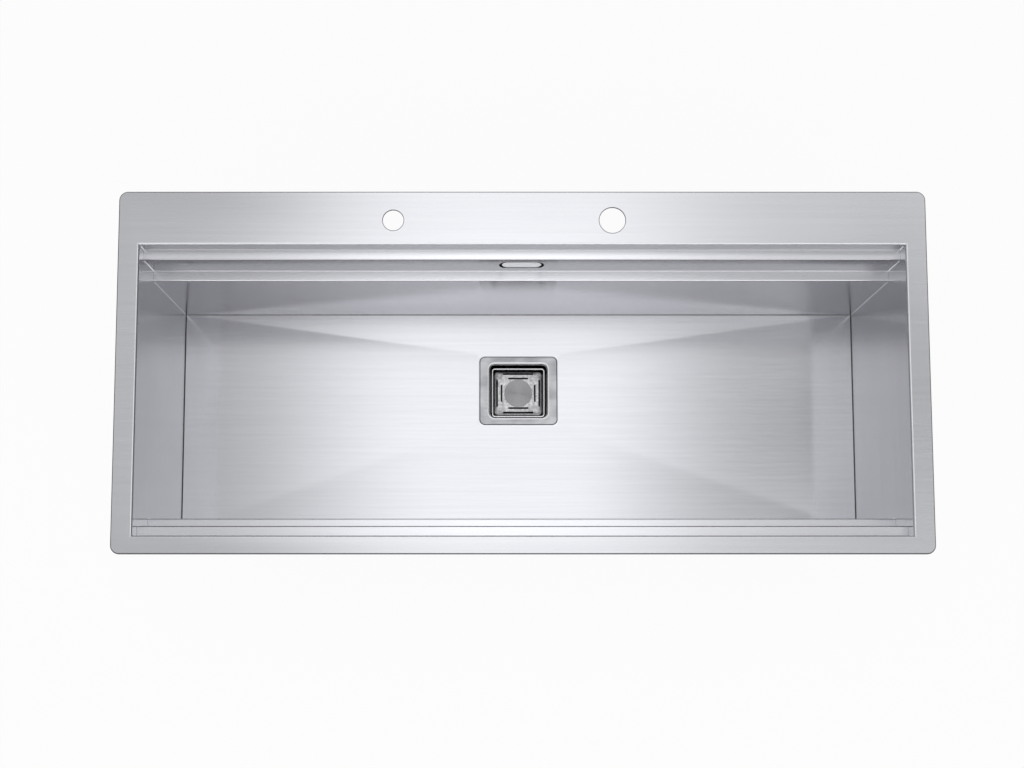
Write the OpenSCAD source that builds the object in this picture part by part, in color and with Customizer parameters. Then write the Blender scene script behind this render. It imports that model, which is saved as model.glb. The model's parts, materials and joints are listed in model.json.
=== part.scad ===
// Single bowl kitchen sink with two accessory ledges, square basket waste and overflow.
// X runs to the right, Y to the back and Z up, in millimetres. The origin is at the centre
// of the rim, in the plane of the worktop that the rim rests on.

/* [Rim] */
// Overall width of the rim, left to right
rim_w = 1085; // [900:5:1200]
// Overall depth of the rim, front to back
rim_d = 490; // [460:1:540]
// Corner radius of the rim
rim_corner_r = 12; // [11:1:25]
// Height of the rim's top above the worktop
rim_h = 3; // [2.8:0.1:5]
// Thickness of the steel sheet
sheet = 1.2; // [1:0.1:1.5]
// Radius of the rim's outer edge
edge_r = 1.8; // [1.5:0.1:2.5]
// Radius of the bend from the rim down into the bowl
bend_r = 3; // [2:0.5:4]
// Width of the tap deck behind the bowl
rear_deck = 73; // [68:1:95]
// Width of the rim in front of the bowl
front_deck = 25; // [25:1:40]
// Width of the rim at each side of the bowl
side_deck = 28.5; // [26:0.5:45]

/* [Bowl] */
// Depth from the rim's top to the edge of the bowl floor
bowl_depth = 200; // [160:5:240]
// Width of each accessory ledge
ledge_w = 14.5; // [10:0.5:20]
// Depth of the upper ledge below the rim's top
ledge_1_drop = 18; // [14:1:22]
// Depth of the lower ledge below the rim's top
ledge_2_drop = 57; // [56:1:75]
// Radius of the rounded noses of the ledges
nose_r = 2.2; // [1.8:0.1:4]
// Radius of the inner corners of the ledges
inner_r = 1; // [0.5:0.1:2]
// Fall of the floor from the walls to the drain
floor_fall = 6; // [3:0.5:12]

/* [Deck holes] */
// Diameter of the tap hole
tap_hole_d = 35; // [33:1:38]
// Distance of the tap hole to the right of the rim's centre
tap_x = 121; // [80:1:200]
// Diameter of the hole for the pop-up control
knob_hole_d = 28; // [24:1:35]
// Distance of the control hole to the left of the rim's centre
knob_x = 173.5; // [120:1:240]
// Distance of both holes from the rim's rear edge
hole_inset = 40; // [38:1:44]

/* [Waste] */
// Width of the waste flange
waste_w = 118; // [112:1:130]
// Depth of the waste flange, front to back
waste_d = 105; // [101:1:120]
// Corner radius of the waste flange
waste_r = 7.5; // [4:0.5:12]
// Thickness of the waste flange and cup
waste_sheet = 1; // [0.8:0.1:1.2]
// Width of the cup's opening
cup_w = 88; // [84:1:92]
// Depth of the cup's opening, front to back
cup_d = 83; // [80:1:87]
// Corner radius of the cup's opening
cup_r = 8; // [6:0.5:12]
// Depth of the cup below its flange
cup_depth = 38; // [34:1:50]
// Distance of the drain behind the centre of the bowl
drain_back = 49.6; // [0:0.1:70]
// Outer diameter of the outlet thread
outlet_d = 47.8; // [44:0.1:50]
// Length of the outlet thread
outlet_l = 22; // [15:1:40]

/* [Basket] */
// Running gap between the basket and the cup
basket_gap = 2.2; // [1.5:0.1:3]
// Depth of the basket's rim below the waste flange
basket_drop = 12; // [8:1:14]
// Radius of the basket's rolled rim
bead_r = 1.5; // [1:0.1:2]
// Depth of the lid's top below the waste flange
lid_drop = 16; // [14.5:0.5:18]
// Gap between the lid and the basket's rim
lid_gap = 2.2; // [1:0.1:3]
// Height of the lid's raised middle over its edge
lid_rise = 2; // [1.5:0.5:4]
// Width of the lid's sloping sides
lid_slope = 5; // [3:0.5:9]
// Diameter of the lid's smooth centre
disc_d = 43; // [36:1:44]
// Width of the lid's slots
slot_w = 2.8; // [1.5:0.1:3.4]

/* [Overflow] */
// Width of the overflow slot
slot_l = 62; // [50:1:80]
// Height of the overflow slot
slot_h = 21; // [18:1:22]
// Distance between the overflow plate and the slot's ends
plate_end_gap = 4; // [2:0.5:6]
// Distance between the overflow plate and the slot's long sides
plate_side_gap = 2; // [1:0.5:3]
// Distance from the rear wall to the axis of the overflow hose
hose_back = 19.3; // [18:0.1:30]
// Radius of the hose's bend under the bowl
hose_bend_r = 60; // [45:1:70]

/* [Clips] */
// Distance of the worktop cut-out inside the rim's outline
cutout_margin = 10; // [9.5:0.5:12]
// Distance of the outer rear and front clips from the rim's ends
clip_x = 142.5; // [125:2.5:290]
// Travel of a clip's screw
clip_travel = 16; // [8:1:18]
// Depth of an open clip's tooth below the worktop's surface
clip_open = 40; // [36:1:60]
// Reach of a clip's arm
claw_reach = 30; // [24:1:36]

/* [Hidden] */
$fn = 48;

eps = 0.5;
steel = [0.76, 0.77, 0.78];
bright_steel = [0.86, 0.87, 0.88];
black_plastic = [0.13, 0.13, 0.14];
grey_plastic = [0.55, 0.56, 0.57];
black_rubber = [0.08, 0.08, 0.08];
brass = [0.78, 0.62, 0.3];

// Rim and bowl, worked out from the driving sizes
rim_under = rim_h - sheet;
bowl_w = rim_w - 2 * side_deck;
mouth_back = rim_d / 2 - rear_deck;
mouth_front = -rim_d / 2 + front_deck;
mouth_d = mouth_back - mouth_front;
mouth_y = (mouth_back + mouth_front) / 2;
bend_z = rim_h - bend_r;
ledge_1_z = rim_h - ledge_1_drop;
ledge_2_z = rim_h - ledge_2_drop;
floor_z = rim_h - bowl_depth;
floor_back = mouth_back - 2 * ledge_w;
floor_front = mouth_front + 2 * ledge_w;
hole_y = rim_d / 2 - hole_inset;
stiffener_w = tap_hole_d + 45;
stiffener_d = tap_hole_d + 19;
stiffener_t = 1.5;
stiffener_play = 1;
gasket_w = 7;
gasket_play = 0.2;
gasket_inset = edge_r + gasket_play;

// Waste
drain_y = mouth_y + drain_back;
panel_z = floor_z - floor_fall;
panel_margin = 6;
panel_half_w = waste_w / 2 + panel_margin;
panel_half_d = waste_d / 2 + panel_margin;
recess_gap = 0.8;
seal_t = 0.8;
recess_depth = waste_sheet + seal_t;
recess_bottom = panel_z - recess_depth;
recess_under = recess_bottom - sheet;
cup_hole_gap = 1.5;
floor_hole_w = cup_w + 2 * (waste_sheet + cup_hole_gap);
floor_hole_d = cup_d + 2 * (waste_sheet + cup_hole_gap);
floor_hole_r = cup_r + waste_sheet + cup_hole_gap;
flange_bend_r = 3;
top_seal_w = cup_w + 2 * flange_bend_r;
top_seal_d = cup_d + 2 * flange_bend_r;
top_seal_r = cup_r + flange_bend_r;
cup_floor = panel_z - cup_depth;
cup_under = cup_floor - waste_sheet;
drain_hole_d = 9;
drain_hole_ring = 15;
drain_hole_count = 8;
low_seal_t = 2;
low_seal_w = waste_w - 2;
low_seal_d = waste_d - 2;
body_wall = 2.5;
body_flange_t = 3;
body_top = recess_under - low_seal_t;
body_w = floor_hole_w + 2 * body_wall;
body_d = floor_hole_d + 2 * body_wall;
body_flange_w = low_seal_w + 2;
body_flange_d = low_seal_d + 2;
chamber_h = 20;
chamber_floor = cup_under - chamber_h;
outlet_z = chamber_floor - body_wall - outlet_l;
outlet_wall = 4.9;
outlet_bore_d = outlet_d - 2 * outlet_wall;
boss_d = 18;
boss_gap = 0.5;
rib_t = 2.5;
insert_d = 9;
insert_l = 14;
screw_d = 6;
screw_play = 0.05;
screw_short = 1;
screw_l = waste_sheet + boss_gap + insert_l - screw_short;
screw_head_d = 14;
screw_head_t = 2.5;
screw_socket_d = 5;

// Basket
basket_w = cup_w - 2 * basket_gap;
basket_d = cup_d - 2 * basket_gap;
basket_r = cup_r - basket_gap;
basket_top = panel_z - basket_drop;
seal_clear = 0.3;
basket_seal_t = 4;
basket_seal_r = 26;
basket_seal_w = 6;
basket_under = cup_floor + seal_clear + basket_seal_t;
basket_floor = basket_under + waste_sheet;
wall_slot_w = 3;
wall_slot_step = 9;
wall_slot_margin = 3;
lid_t = 1.2;
lid_w = basket_w - 4 * bead_r - 2 * lid_gap;
lid_d = basket_d - 4 * bead_r - 2 * lid_gap;
lid_r = 6;
lid_top = panel_z - lid_drop;
lid_edge = lid_top - lid_rise;
lid_flat_w = lid_w - 2 * lid_slope;
lid_flat_d = lid_d - 2 * lid_slope;
disc_t = 0.8;
slot_inset = 10.7;
slot_in_x = lid_w / 2 - slot_inset;
slot_in_y = lid_d / 2 - slot_inset;
slot_in_w = 31;
slot_in_d = 27;
slot_out = 7;
slot_out_w = 47;
slot_out_d = 42;
stem_d = 26;
post_d = 10;
post_web = 1.5;

// Overflow
slot_z = (ledge_1_z + ledge_2_z) / 2 + 1;
wall_back = mouth_back - ledge_w + sheet;
box_seal_t = 1.5;
box_flange_t = 2;
box_flange_h = slot_h + 9;
box_wall = 2;
box_w = slot_l + 8;
box_h = slot_h + 6;
hose_y = wall_back + hose_back;
box_front = wall_back + box_seal_t;
box_back = hose_y + 12;
plate_t = 1.5;
plate_inset = 0.5;
plate_post_d = 6;
stud_d = 4;
stud_play = 0.2;
stud_l = 11;
nut_t = 3.2;
nut_d = 8;
stud_x = box_w / 2 + nut_d / 2 + 0.5;
box_flange_w = 2 * stud_x + nut_d + 2;

// Overflow hose: straight down behind the bowl, round a bend and forward to the waste
hose_bore = 18;
hose_sides = 8;
hose_rib = 12;
hose_valley = 10.9;
hose_cuff = 24;
rib_step = 4;
spigot_d = 17.8;
spigot_bore = 14;
spigot_l = 20;
spigot_gap = 2;
port_z = chamber_floor + chamber_h / 2;
port_wall_y = drain_y + body_d / 2;
port_y = port_wall_y + spigot_gap;
box_spigot_z = slot_z - box_h / 2;
hose_top = box_spigot_z - spigot_gap;
bend_y = hose_y - hose_bend_r;
bend_top = port_z + hose_bend_r;
down_l = hose_top - bend_top;
arc_l = PI / 2 * hose_bend_r;
ahead_l = bend_y - port_y;
hose_l = down_l + arc_l + ahead_l;
band_t = 1;
band_w = 8;
band_play = 0.1;
band_inset = 4;
band_ear = 5;

// Clips
clip_count = 8;
claw_end_r = 6;
claw_w = 2 * claw_end_r;
claw_t = 2.5;
clip_clear = 0.8;
clip_inset = cutout_margin + claw_end_r + clip_clear;
tooth_h = 12;
tooth_t = 2.5;
bracket_t = 1.5;
bracket_l = 24;
bracket_play = 0.5;
bracket_in = min(front_deck, side_deck) - clip_inset - sheet - bracket_play;
bracket_out = 5.5;
tab_z = -26;
clip_screw_d = 5;
clip_play = 0.05;
claw_top = -clip_open - tooth_h + claw_t;
claw_under = claw_top - claw_t;
claw_gap = 0.2;
collar_d = 7.6;
collar_t = 1;
clip_head_d = 9;
clip_head_t = 3.5;
clip_slot_w = 1.2;
clip_slot_depth = 1.6;
tip_clear = 3.8;
clip_rear_y = rim_d / 2 - clip_inset;
clip_front_y = -rim_d / 2 + clip_inset;
clip_side_x = rim_w / 2 - clip_inset;
clip_side_y = mouth_y;
clip_out_x = rim_w / 2 - clip_x;
clips = [
    [-clip_out_x, clip_rear_y, 90], [0, clip_rear_y, 90], [clip_out_x, clip_rear_y, 90],
    [clip_side_x, clip_side_y, 0],
    [clip_out_x, clip_front_y, 270], [0, clip_front_y, 270], [-clip_out_x, clip_front_y, 270],
    [-clip_side_x, clip_side_y, 180]
];

// Pads and earth tag
pad_t = 2;
pad_l = 200;
pad_inset = 60;
pad_margin = 4;
side_pad_d = 220;
side_pad_h = 90;
side_pad_z = floor_z + 65;
tag_x = 300;
tag_z = floor_z + 60;
tag_w = 16;
tag_l = 18;
tag_t = 1.5;
tag_hole_d = 6.4;

// Points of a circular arc about c, in steps that suit a sheet's bend
function arc(c, r, from, to, steps = 8) =
    [for (i = [0:steps]) c + r * [cos(from + (to - from) * i / steps), sin(from + (to - from) * i / steps)]];

function reversed(points) = [for (i = [len(points) - 1:-1:0]) points[i]];

// Line of a stepped bowl wall, from the rim's bend down to the floor, as [inward, z].
// It is the wall's face at back = 0 and the sheet's other side at back = sheet.
function step_line(back) = concat(
    [[-back, bend_z]],
    arc([inner_r, ledge_1_z + inner_r], inner_r + back, 180, 270),
    arc([ledge_w - nose_r, ledge_1_z - nose_r], nose_r - back, 90, 0),
    arc([ledge_w + inner_r, ledge_2_z + inner_r], inner_r + back, 180, 270),
    arc([2 * ledge_w - nose_r, ledge_2_z - nose_r], nose_r - back, 90, 0),
    [[2 * ledge_w - back, floor_z]]
);

// Share of the way from an end wall to the drain's panel, at a distance x from the middle
function slope_share(x) = (bowl_w / 2 - x) / (bowl_w / 2 - panel_half_w);

// Top of the floor on its left and right slopes, at a distance x from the middle
function side_slope_z(x) = floor_z - floor_fall * slope_share(x);

// Line of a crease of the floor, which runs from a corner of the bowl to one of the panel
function crease_y(x, wall_y, panel_y) = wall_y + slope_share(x) * (panel_y - wall_y);

module round_rect(w, d, r) {
    square([w - 2 * r, d], center = true);
    square([w, d - 2 * r], center = true);
    for (x = [-1, 1])
        for (y = [-1, 1])
            translate([x * (w / 2 - r), y * (d / 2 - r)])
                circle(r);
}

module stadium(l, h) {
    square([l - h, h], center = true);
    for (x = [-1, 1])
        translate([x * (l - h) / 2, 0])
            circle(h / 2);
}

// Carries a profile round a rectangle with rounded corners. The profile's x runs outward
// from the rectangle's line and its y runs up.
module sweep_round(w, d, r) {
    for (turn = [0, 180])
        rotate(turn) {
            translate([w / 2, -(d / 2 - r), 0])
                rotate([90, 0, 180])
                    mirror([1, 0, 0])
                        linear_extrude(d - 2 * r)
                            children();
            translate([w / 2 - r, d / 2 - r, 0])
                rotate_extrude(angle = 90)
                    translate([r, 0])
                        children();
            translate([w / 2 - r, d / 2, 0])
                rotate([90, 0, 270])
                    mirror([1, 0, 0])
                        linear_extrude(w - 2 * r)
                            children();
            translate([-(w / 2 - r), d / 2 - r, 0])
                rotate(90)
                    rotate_extrude(angle = 90)
                        translate([r, 0])
                            children();
        }
}

// Solid of a mouth across X, with flared lips where the rim bends into it
module mouth_run(width, grow, length) {
    half = width / 2;
    rotate([90, 0, 0])
        translate([0, 0, -length / 2])
            linear_extrude(length) {
                translate([-half - grow, bend_z - (grow > 0 ? 0 : eps)])
                    square([width + 2 * grow, bend_r + (grow > 0 ? 0 : 2 * eps)]);
                difference() {
                    translate([-half - bend_r, bend_z])
                        square([width + 2 * bend_r, bend_r + (grow > 0 ? 0 : eps)]);
                    for (side = [-1, 1])
                        translate([side * (half + bend_r), bend_z])
                            circle(bend_r - grow);
                }
            }
}

// The mouth of the bowl: grow = 0 is the open space and grow = sheet is the bent metal's far side
module mouth(grow) {
    reach = 4 * bend_r;
    translate([0, mouth_y, 0])
        intersection() {
            mouth_run(bowl_w, grow, mouth_d + reach);
            rotate(90)
                mouth_run(mouth_d, grow, bowl_w + reach);
        }
}

module rim_edge() {
    translate([-edge_r - eps, rim_under])
        square([2 * eps, sheet]);
    translate([-sheet, 0])
        square([sheet, rim_h - edge_r]);
    intersection() {
        translate([-edge_r, rim_h - edge_r])
            circle(edge_r);
        translate([-edge_r, rim_h - edge_r])
            square(edge_r);
    }
}

module deck() {
    color(steel)
        difference() {
            union() {
                translate([0, 0, rim_under])
                    linear_extrude(sheet)
                        round_rect(rim_w - 2 * edge_r, rim_d - 2 * edge_r, rim_corner_r - edge_r);
                sweep_round(rim_w, rim_d, rim_corner_r)
                    rim_edge();
                mouth(sheet);
            }
            mouth(0);
            translate([tap_x, hole_y, 0])
                cylinder(h = rim_h + eps, d = tap_hole_d);
            translate([-knob_x, hole_y, 0])
                cylinder(h = rim_h + eps, d = knob_hole_d);
        }
}

module edge_gasket() {
    color(black_rubber)
        sweep_round(rim_w, rim_d, rim_corner_r)
            translate([-gasket_inset - gasket_w, 0])
                square([gasket_w, rim_under]);
}

module tap_stiffener() {
    color(steel)
        translate([tap_x, hole_y, rim_under - stiffener_t])
            difference() {
                linear_extrude(stiffener_t)
                    round_rect(stiffener_w, stiffener_d, 6);
                translate([0, 0, -eps])
                    cylinder(h = stiffener_t + 2 * eps, d = tap_hole_d + 2 * stiffener_play);
            }
}

// A stepped wall stands along X with its face towards the bowl
module stepped_wall() {
    translate([-bowl_w / 2, 0, 0])
        rotate([90, 0, 90])
            linear_extrude(bowl_w)
                polygon(concat(step_line(0), reversed(step_line(sheet))));
}

module rear_wall() {
    color(steel)
        difference() {
            translate([0, mouth_back, 0])
                mirror([0, 1, 0])
                    stepped_wall();
            translate([0, wall_back + eps, slot_z])
                rotate([90, 0, 0])
                    linear_extrude(sheet + 2 * eps)
                        stadium(slot_l, slot_h);
        }
}

module front_wall() {
    color(steel)
        translate([0, mouth_front, 0])
            stepped_wall();
}

// Both end walls cover the ends of the stepped walls
module end_wall() {
    rear_line = [for (p = step_line(sheet)) [mouth_back - p[0], p[1]]];
    front_line = [for (p = step_line(sheet)) [mouth_front + p[0], p[1]]];
    rotate([90, 0, 90])
        linear_extrude(sheet)
            polygon(concat(rear_line, reversed(front_line)));
}

module left_wall() {
    color(steel)
        translate([-bowl_w / 2 - sheet, 0, 0])
            end_wall();
}

module right_wall() {
    color(steel)
        translate([bowl_w / 2, 0, 0])
            end_wall();
}

// Four corners of a level rectangle of the floor, turning left seen from above
function floor_ring(half_w, front, back, z) =
    [[-half_w, front, z], [half_w, front, z], [half_w, back, z], [-half_w, back, z]];

// One slope of the floor, from a wall to the drain's panel and between two creases.
// The floor is one folded sheet, drawn as its four slopes and the recess in the middle.
module floor_slope(side) {
    rings = [
        floor_ring(bowl_w / 2 + sheet, floor_front - sheet, floor_back + sheet, floor_z - sheet),
        floor_ring(bowl_w / 2 + sheet, floor_front - sheet, floor_back + sheet, floor_z),
        floor_ring(bowl_w / 2, floor_front, floor_back, floor_z),
        floor_ring(panel_half_w, drain_y - panel_half_d, drain_y + panel_half_d, panel_z),
        floor_ring(panel_half_w, drain_y - panel_half_d, drain_y + panel_half_d, panel_z - sheet),
        floor_ring(bowl_w / 2, floor_front, floor_back, floor_z - sheet)
    ];
    count = len(rings);
    color(steel)
        polyhedron(
            points = [for (ring = rings) each [ring[side], ring[(side + 1) % 4]]],
            faces = concat(
                [for (i = [0:count - 1])
                    let (a = 2 * i, next = 2 * ((i + 1) % count))
                        [a, next, next + 1, a + 1]],
                [[2, 0, 4], [4, 0, 10], [4, 10, 6], [6, 10, 8]],
                [[3, 5, 1], [5, 11, 1], [5, 7, 11], [7, 9, 11]]
            )
        );
}

module floor_front() {
    floor_slope(0);
}

module floor_right() {
    floor_slope(1);
}

module floor_rear() {
    floor_slope(2);
}

module floor_left() {
    floor_slope(3);
}

// Level panel in the middle of the floor, pressed down for the waste flange
module drain_recess() {
    color(steel)
        translate([0, drain_y, 0])
            difference() {
                union() {
                    translate([-panel_half_w, -panel_half_d, panel_z - sheet])
                        cube([2 * panel_half_w, 2 * panel_half_d, sheet]);
                    translate([0, 0, recess_under])
                        linear_extrude(panel_z - sheet / 2 - recess_under)
                            round_rect(waste_w + 2 * (recess_gap + sheet), waste_d + 2 * (recess_gap + sheet),
                                waste_r + recess_gap + sheet);
                }
                translate([0, 0, recess_bottom])
                    linear_extrude(recess_depth + eps)
                        round_rect(waste_w + 2 * recess_gap, waste_d + 2 * recess_gap, waste_r + recess_gap);
                translate([0, 0, recess_under - eps])
                    linear_extrude(recess_depth + sheet)
                        round_rect(floor_hole_w, floor_hole_d, floor_hole_r);
            }
}

// A damping pad lies flat against the underside of a side slope
module floor_pad(side) {
    inner = bowl_w / 2 - pad_inset - pad_l;
    outer = bowl_w / 2 - pad_inset;
    front = crease_y(inner, floor_front, drain_y - panel_half_d) + pad_margin;
    back = crease_y(inner, floor_back, drain_y + panel_half_d) - pad_margin;
    color(black_rubber)
        translate([0, back, 0])
            rotate([90, 0, 0])
                linear_extrude(back - front)
                    polygon([
                        [side * inner, side_slope_z(inner) - sheet],
                        [side * outer, side_slope_z(outer) - sheet],
                        [side * outer, side_slope_z(outer) - sheet - pad_t],
                        [side * inner, side_slope_z(inner) - sheet - pad_t]
                    ]);
}

module floor_pad_left() {
    floor_pad(-1);
}

module floor_pad_right() {
    floor_pad(1);
}

module side_pad(side) {
    color(black_rubber)
        translate([side * (bowl_w / 2 + sheet + pad_t / 2), (floor_back + floor_front) / 2, side_pad_z])
            cube([pad_t, side_pad_d, side_pad_h], center = true);
}

module side_pad_left() {
    side_pad(-1);
}

module side_pad_right() {
    side_pad(1);
}

// Angle with one leg on the rear wall and a drilled leg for the bonding cable
module earth_tag() {
    color(bright_steel)
        translate([tag_x, floor_back + sheet, tag_z]) {
            translate([0, 0, -tag_w / 2])
                cube([tag_l, tag_t, tag_w]);
            difference() {
                translate([0, 0, -tag_w / 2])
                    cube([tag_t, tag_l, tag_w]);
                translate([-eps, tag_l - tag_w / 2, 0])
                    rotate([0, 90, 0])
                        cylinder(h = tag_t + 2 * eps, d = tag_hole_d);
            }
        }
}

// Places a part at clip i, turned so that its X points out over the worktop
module at_clip(i) {
    translate([clips[i - 1][0], clips[i - 1][1], 0])
        rotate(clips[i - 1][2])
            children();
}

// Channel under the rim: foot, web and a tapped tab for the clip's screw
module clip_brackets() {
    color(steel)
        for (i = [1:clip_count])
            at_clip(i)
                difference() {
                    translate([0, bracket_l / 2, 0])
                        rotate([90, 0, 0])
                            linear_extrude(bracket_l)
                                polygon([
                                    [-bracket_in, rim_under - bend_r],
                                    [-bracket_in + bend_r, rim_under],
                                    [bracket_out, rim_under],
                                    [bracket_out, rim_under - bracket_t],
                                    [-bracket_in + bend_r + bracket_t / 2, rim_under - bracket_t],
                                    [-bracket_in + bracket_t, rim_under - bend_r - bracket_t / 2],
                                    [-bracket_in + bracket_t, tab_z + bracket_t],
                                    [bracket_out, tab_z + bracket_t],
                                    [bracket_out, tab_z],
                                    [-bracket_in, tab_z]
                                ]);
                    translate([0, 0, tab_z - eps])
                        cylinder(h = bracket_t + 2 * eps, d = clip_screw_d + 2 * clip_play);
                }
}

module clip_screw(i) {
    head_top = claw_under - claw_gap;
    shank_top = rim_under - bracket_t - tip_clear - clip_travel;
    color(bright_steel)
        at_clip(i)
            difference() {
                union() {
                    translate([0, 0, head_top])
                        cylinder(h = shank_top - head_top, d = clip_screw_d);
                    translate([0, 0, head_top - clip_head_t])
                        cylinder(h = clip_head_t, d = clip_head_d);
                    translate([0, 0, claw_top + claw_gap])
                        cylinder(h = collar_t, d = collar_d);
                }
                translate([-clip_head_d / 2 - eps, -clip_slot_w / 2, head_top - clip_head_t - eps])
                    cube([clip_head_d + 2 * eps, clip_slot_w, clip_slot_depth + eps]);
            }
}

// Arm with an upturned tooth, folded along the rim as it is when the sink is lowered in
module clip_claw(i) {
    color(steel)
        at_clip(i)
            rotate(-90)
                difference() {
                    union() {
                        translate([0, 0, claw_under])
                            cylinder(h = claw_t, r = claw_end_r);
                        translate([0, -claw_w / 2, claw_under])
                            cube([claw_reach, claw_w, claw_t]);
                        translate([claw_reach - tooth_t, -claw_w / 2, claw_under])
                            cube([tooth_t, claw_w, tooth_h]);
                    }
                    translate([0, 0, claw_under - eps])
                        cylinder(h = claw_t + 2 * eps, d = clip_screw_d + 2 * clip_play);
                }
}

// Square strainer cup with its flange, bent from one sheet
module drain_flange() {
    color(bright_steel)
        translate([0, drain_y, panel_z])
            difference() {
                union() {
                    translate([0, 0, -waste_sheet])
                        linear_extrude(waste_sheet)
                            difference() {
                                round_rect(waste_w, waste_d, waste_r);
                                round_rect(top_seal_w, top_seal_d, top_seal_r);
                            }
                    sweep_round(cup_w, cup_d, cup_r) {
                        intersection() {
                            difference() {
                                translate([flange_bend_r, -flange_bend_r])
                                    circle(flange_bend_r);
                                translate([flange_bend_r, -flange_bend_r])
                                    circle(flange_bend_r - waste_sheet);
                            }
                            translate([0, -flange_bend_r])
                                square(flange_bend_r);
                        }
                        translate([0, -cup_depth - waste_sheet])
                            square([waste_sheet, cup_depth + waste_sheet - flange_bend_r]);
                    }
                    translate([0, 0, -cup_depth - waste_sheet])
                        linear_extrude(waste_sheet)
                            round_rect(cup_w, cup_d, cup_r);
                }
                translate([0, 0, -cup_depth - waste_sheet - eps]) {
                    cylinder(h = waste_sheet + 2 * eps, d = screw_d + 1);
                    for (i = [0:drain_hole_count - 1])
                        rotate(360 / drain_hole_count * i)
                            translate([drain_hole_ring, 0, 0])
                                cylinder(h = waste_sheet + 2 * eps, d = drain_hole_d);
                }
            }
}

module drain_top_seal() {
    color(black_rubber)
        translate([0, drain_y, recess_bottom])
            linear_extrude(seal_t)
                difference() {
                    round_rect(waste_w - 2, waste_d - 2, waste_r);
                    round_rect(top_seal_w, top_seal_d, top_seal_r);
                }
}

module drain_bottom_seal() {
    color(black_rubber)
        translate([0, drain_y, body_top])
            linear_extrude(low_seal_t)
                difference() {
                    round_rect(low_seal_w, low_seal_d, floor_hole_r);
                    round_rect(floor_hole_w, floor_hole_d, floor_hole_r);
                }
}

// Moulded body under the floor: flange, chamber, screw boss on ribs, hose port and outlet
module drain_body() {
    body_r = floor_hole_r + body_wall;
    color(black_plastic)
        difference() {
            union() {
                difference() {
                    translate([0, drain_y, 0]) {
                        translate([0, 0, body_top - body_flange_t])
                            linear_extrude(body_flange_t)
                                round_rect(body_flange_w, body_flange_d, body_r);
                        translate([0, 0, chamber_floor - body_wall])
                            linear_extrude(body_top - chamber_floor)
                                round_rect(body_w, body_d, body_r);
                        translate([0, 0, outlet_z])
                            cylinder(h = outlet_l + eps, d = outlet_d);
                    }
                    translate([0, drain_y, chamber_floor])
                        linear_extrude(body_top - chamber_floor + eps)
                            round_rect(floor_hole_w, floor_hole_d, floor_hole_r);
                    translate([0, drain_y, outlet_z - eps])
                        cylinder(h = outlet_l + body_wall + 2 * eps, d = outlet_bore_d);
                }
                translate([0, port_wall_y - eps, port_z])
                    rotate([-90, 0, 0])
                        cylinder(h = spigot_l + spigot_gap + eps, d = spigot_d);
                translate([0, drain_y, chamber_floor - body_wall])
                    cylinder(h = chamber_h + body_wall - boss_gap, d = boss_d);
                for (turn = [45, 135])
                    translate([0, drain_y, chamber_floor - body_wall])
                        rotate(turn)
                            translate([-outlet_d / 2, -rib_t / 2, 0])
                                cube([outlet_d, rib_t, chamber_h / 2]);
            }
            translate([0, port_wall_y - body_wall - eps, port_z])
                rotate([-90, 0, 0])
                    cylinder(h = spigot_l + spigot_gap + body_wall + 2 * eps, d = spigot_bore);
            translate([0, drain_y, cup_under - boss_gap - insert_l])
                cylinder(h = insert_l + eps, d = insert_d);
        }
}

module screw_insert() {
    color(brass)
        translate([0, drain_y, cup_under - boss_gap - insert_l])
            difference() {
                cylinder(h = insert_l, d = insert_d);
                translate([0, 0, -eps])
                    cylinder(h = insert_l + 2 * eps, d = screw_d + 2 * screw_play);
            }
}

module drain_screw() {
    color(bright_steel)
        translate([0, drain_y, cup_floor])
            difference() {
                union() {
                    cylinder(h = screw_head_t, d = screw_head_d);
                    translate([0, 0, -screw_l])
                        cylinder(h = screw_l + eps, d = screw_d);
                }
                translate([0, 0, screw_head_t - 2])
                    cylinder(h = 2 + eps, d = screw_socket_d, $fn = 6);
            }
}

// Basket with a rolled rim, a closed floor and slots through its four walls
module basket_cup() {
    inner_w = basket_w - 2 * bead_r - waste_sheet;
    inner_d = basket_d - 2 * bead_r - waste_sheet;
    wall_r = basket_r - bead_r + waste_sheet / 2;
    slot_bottom = basket_floor + wall_slot_margin;
    slot_top = basket_top - 2 * bead_r - wall_slot_margin;
    color(bright_steel)
        difference() {
            translate([0, drain_y, 0]) {
                sweep_round(basket_w - 2 * bead_r, basket_d - 2 * bead_r, basket_r - bead_r) {
                    translate([0, basket_top - bead_r])
                        circle(bead_r);
                    translate([-waste_sheet / 2, basket_under])
                        square([waste_sheet, basket_top - bead_r - basket_under]);
                }
                translate([0, 0, basket_under])
                    linear_extrude(waste_sheet)
                        round_rect(inner_w, inner_d, wall_r - waste_sheet);
            }
            for (x = [-3:3])
                translate([x * wall_slot_step, drain_y, (slot_top + slot_bottom) / 2])
                    cube([wall_slot_w, cup_d, slot_top - slot_bottom], center = true);
            for (y = [-3:3])
                translate([0, drain_y + y * wall_slot_step, (slot_top + slot_bottom) / 2])
                    cube([cup_w, wall_slot_w, slot_top - slot_bottom], center = true);
        }
}

// Raised pillow of the lid: a flat middle with sloping sides
module pillow(drop) {
    hull() {
        translate([0, 0, lid_edge - lid_t - drop])
            linear_extrude(lid_t)
                round_rect(lid_w, lid_d, lid_r, $fn = 32);
        translate([0, 0, lid_top - lid_t - drop])
            linear_extrude(lid_t)
                round_rect(lid_flat_w, lid_flat_d, lid_r, $fn = 32);
    }
}

// Slots on four sides at a distance from the middle
module ring_of_slots(x, y, length_x, length_y, width) {
    for (side = [-1, 1]) {
        translate([side * x, 0, lid_edge])
            cube([width, length_y, 4 * lid_rise], center = true);
        translate([0, side * y, lid_edge])
            cube([length_x, width, 4 * lid_rise], center = true);
    }
}

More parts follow.
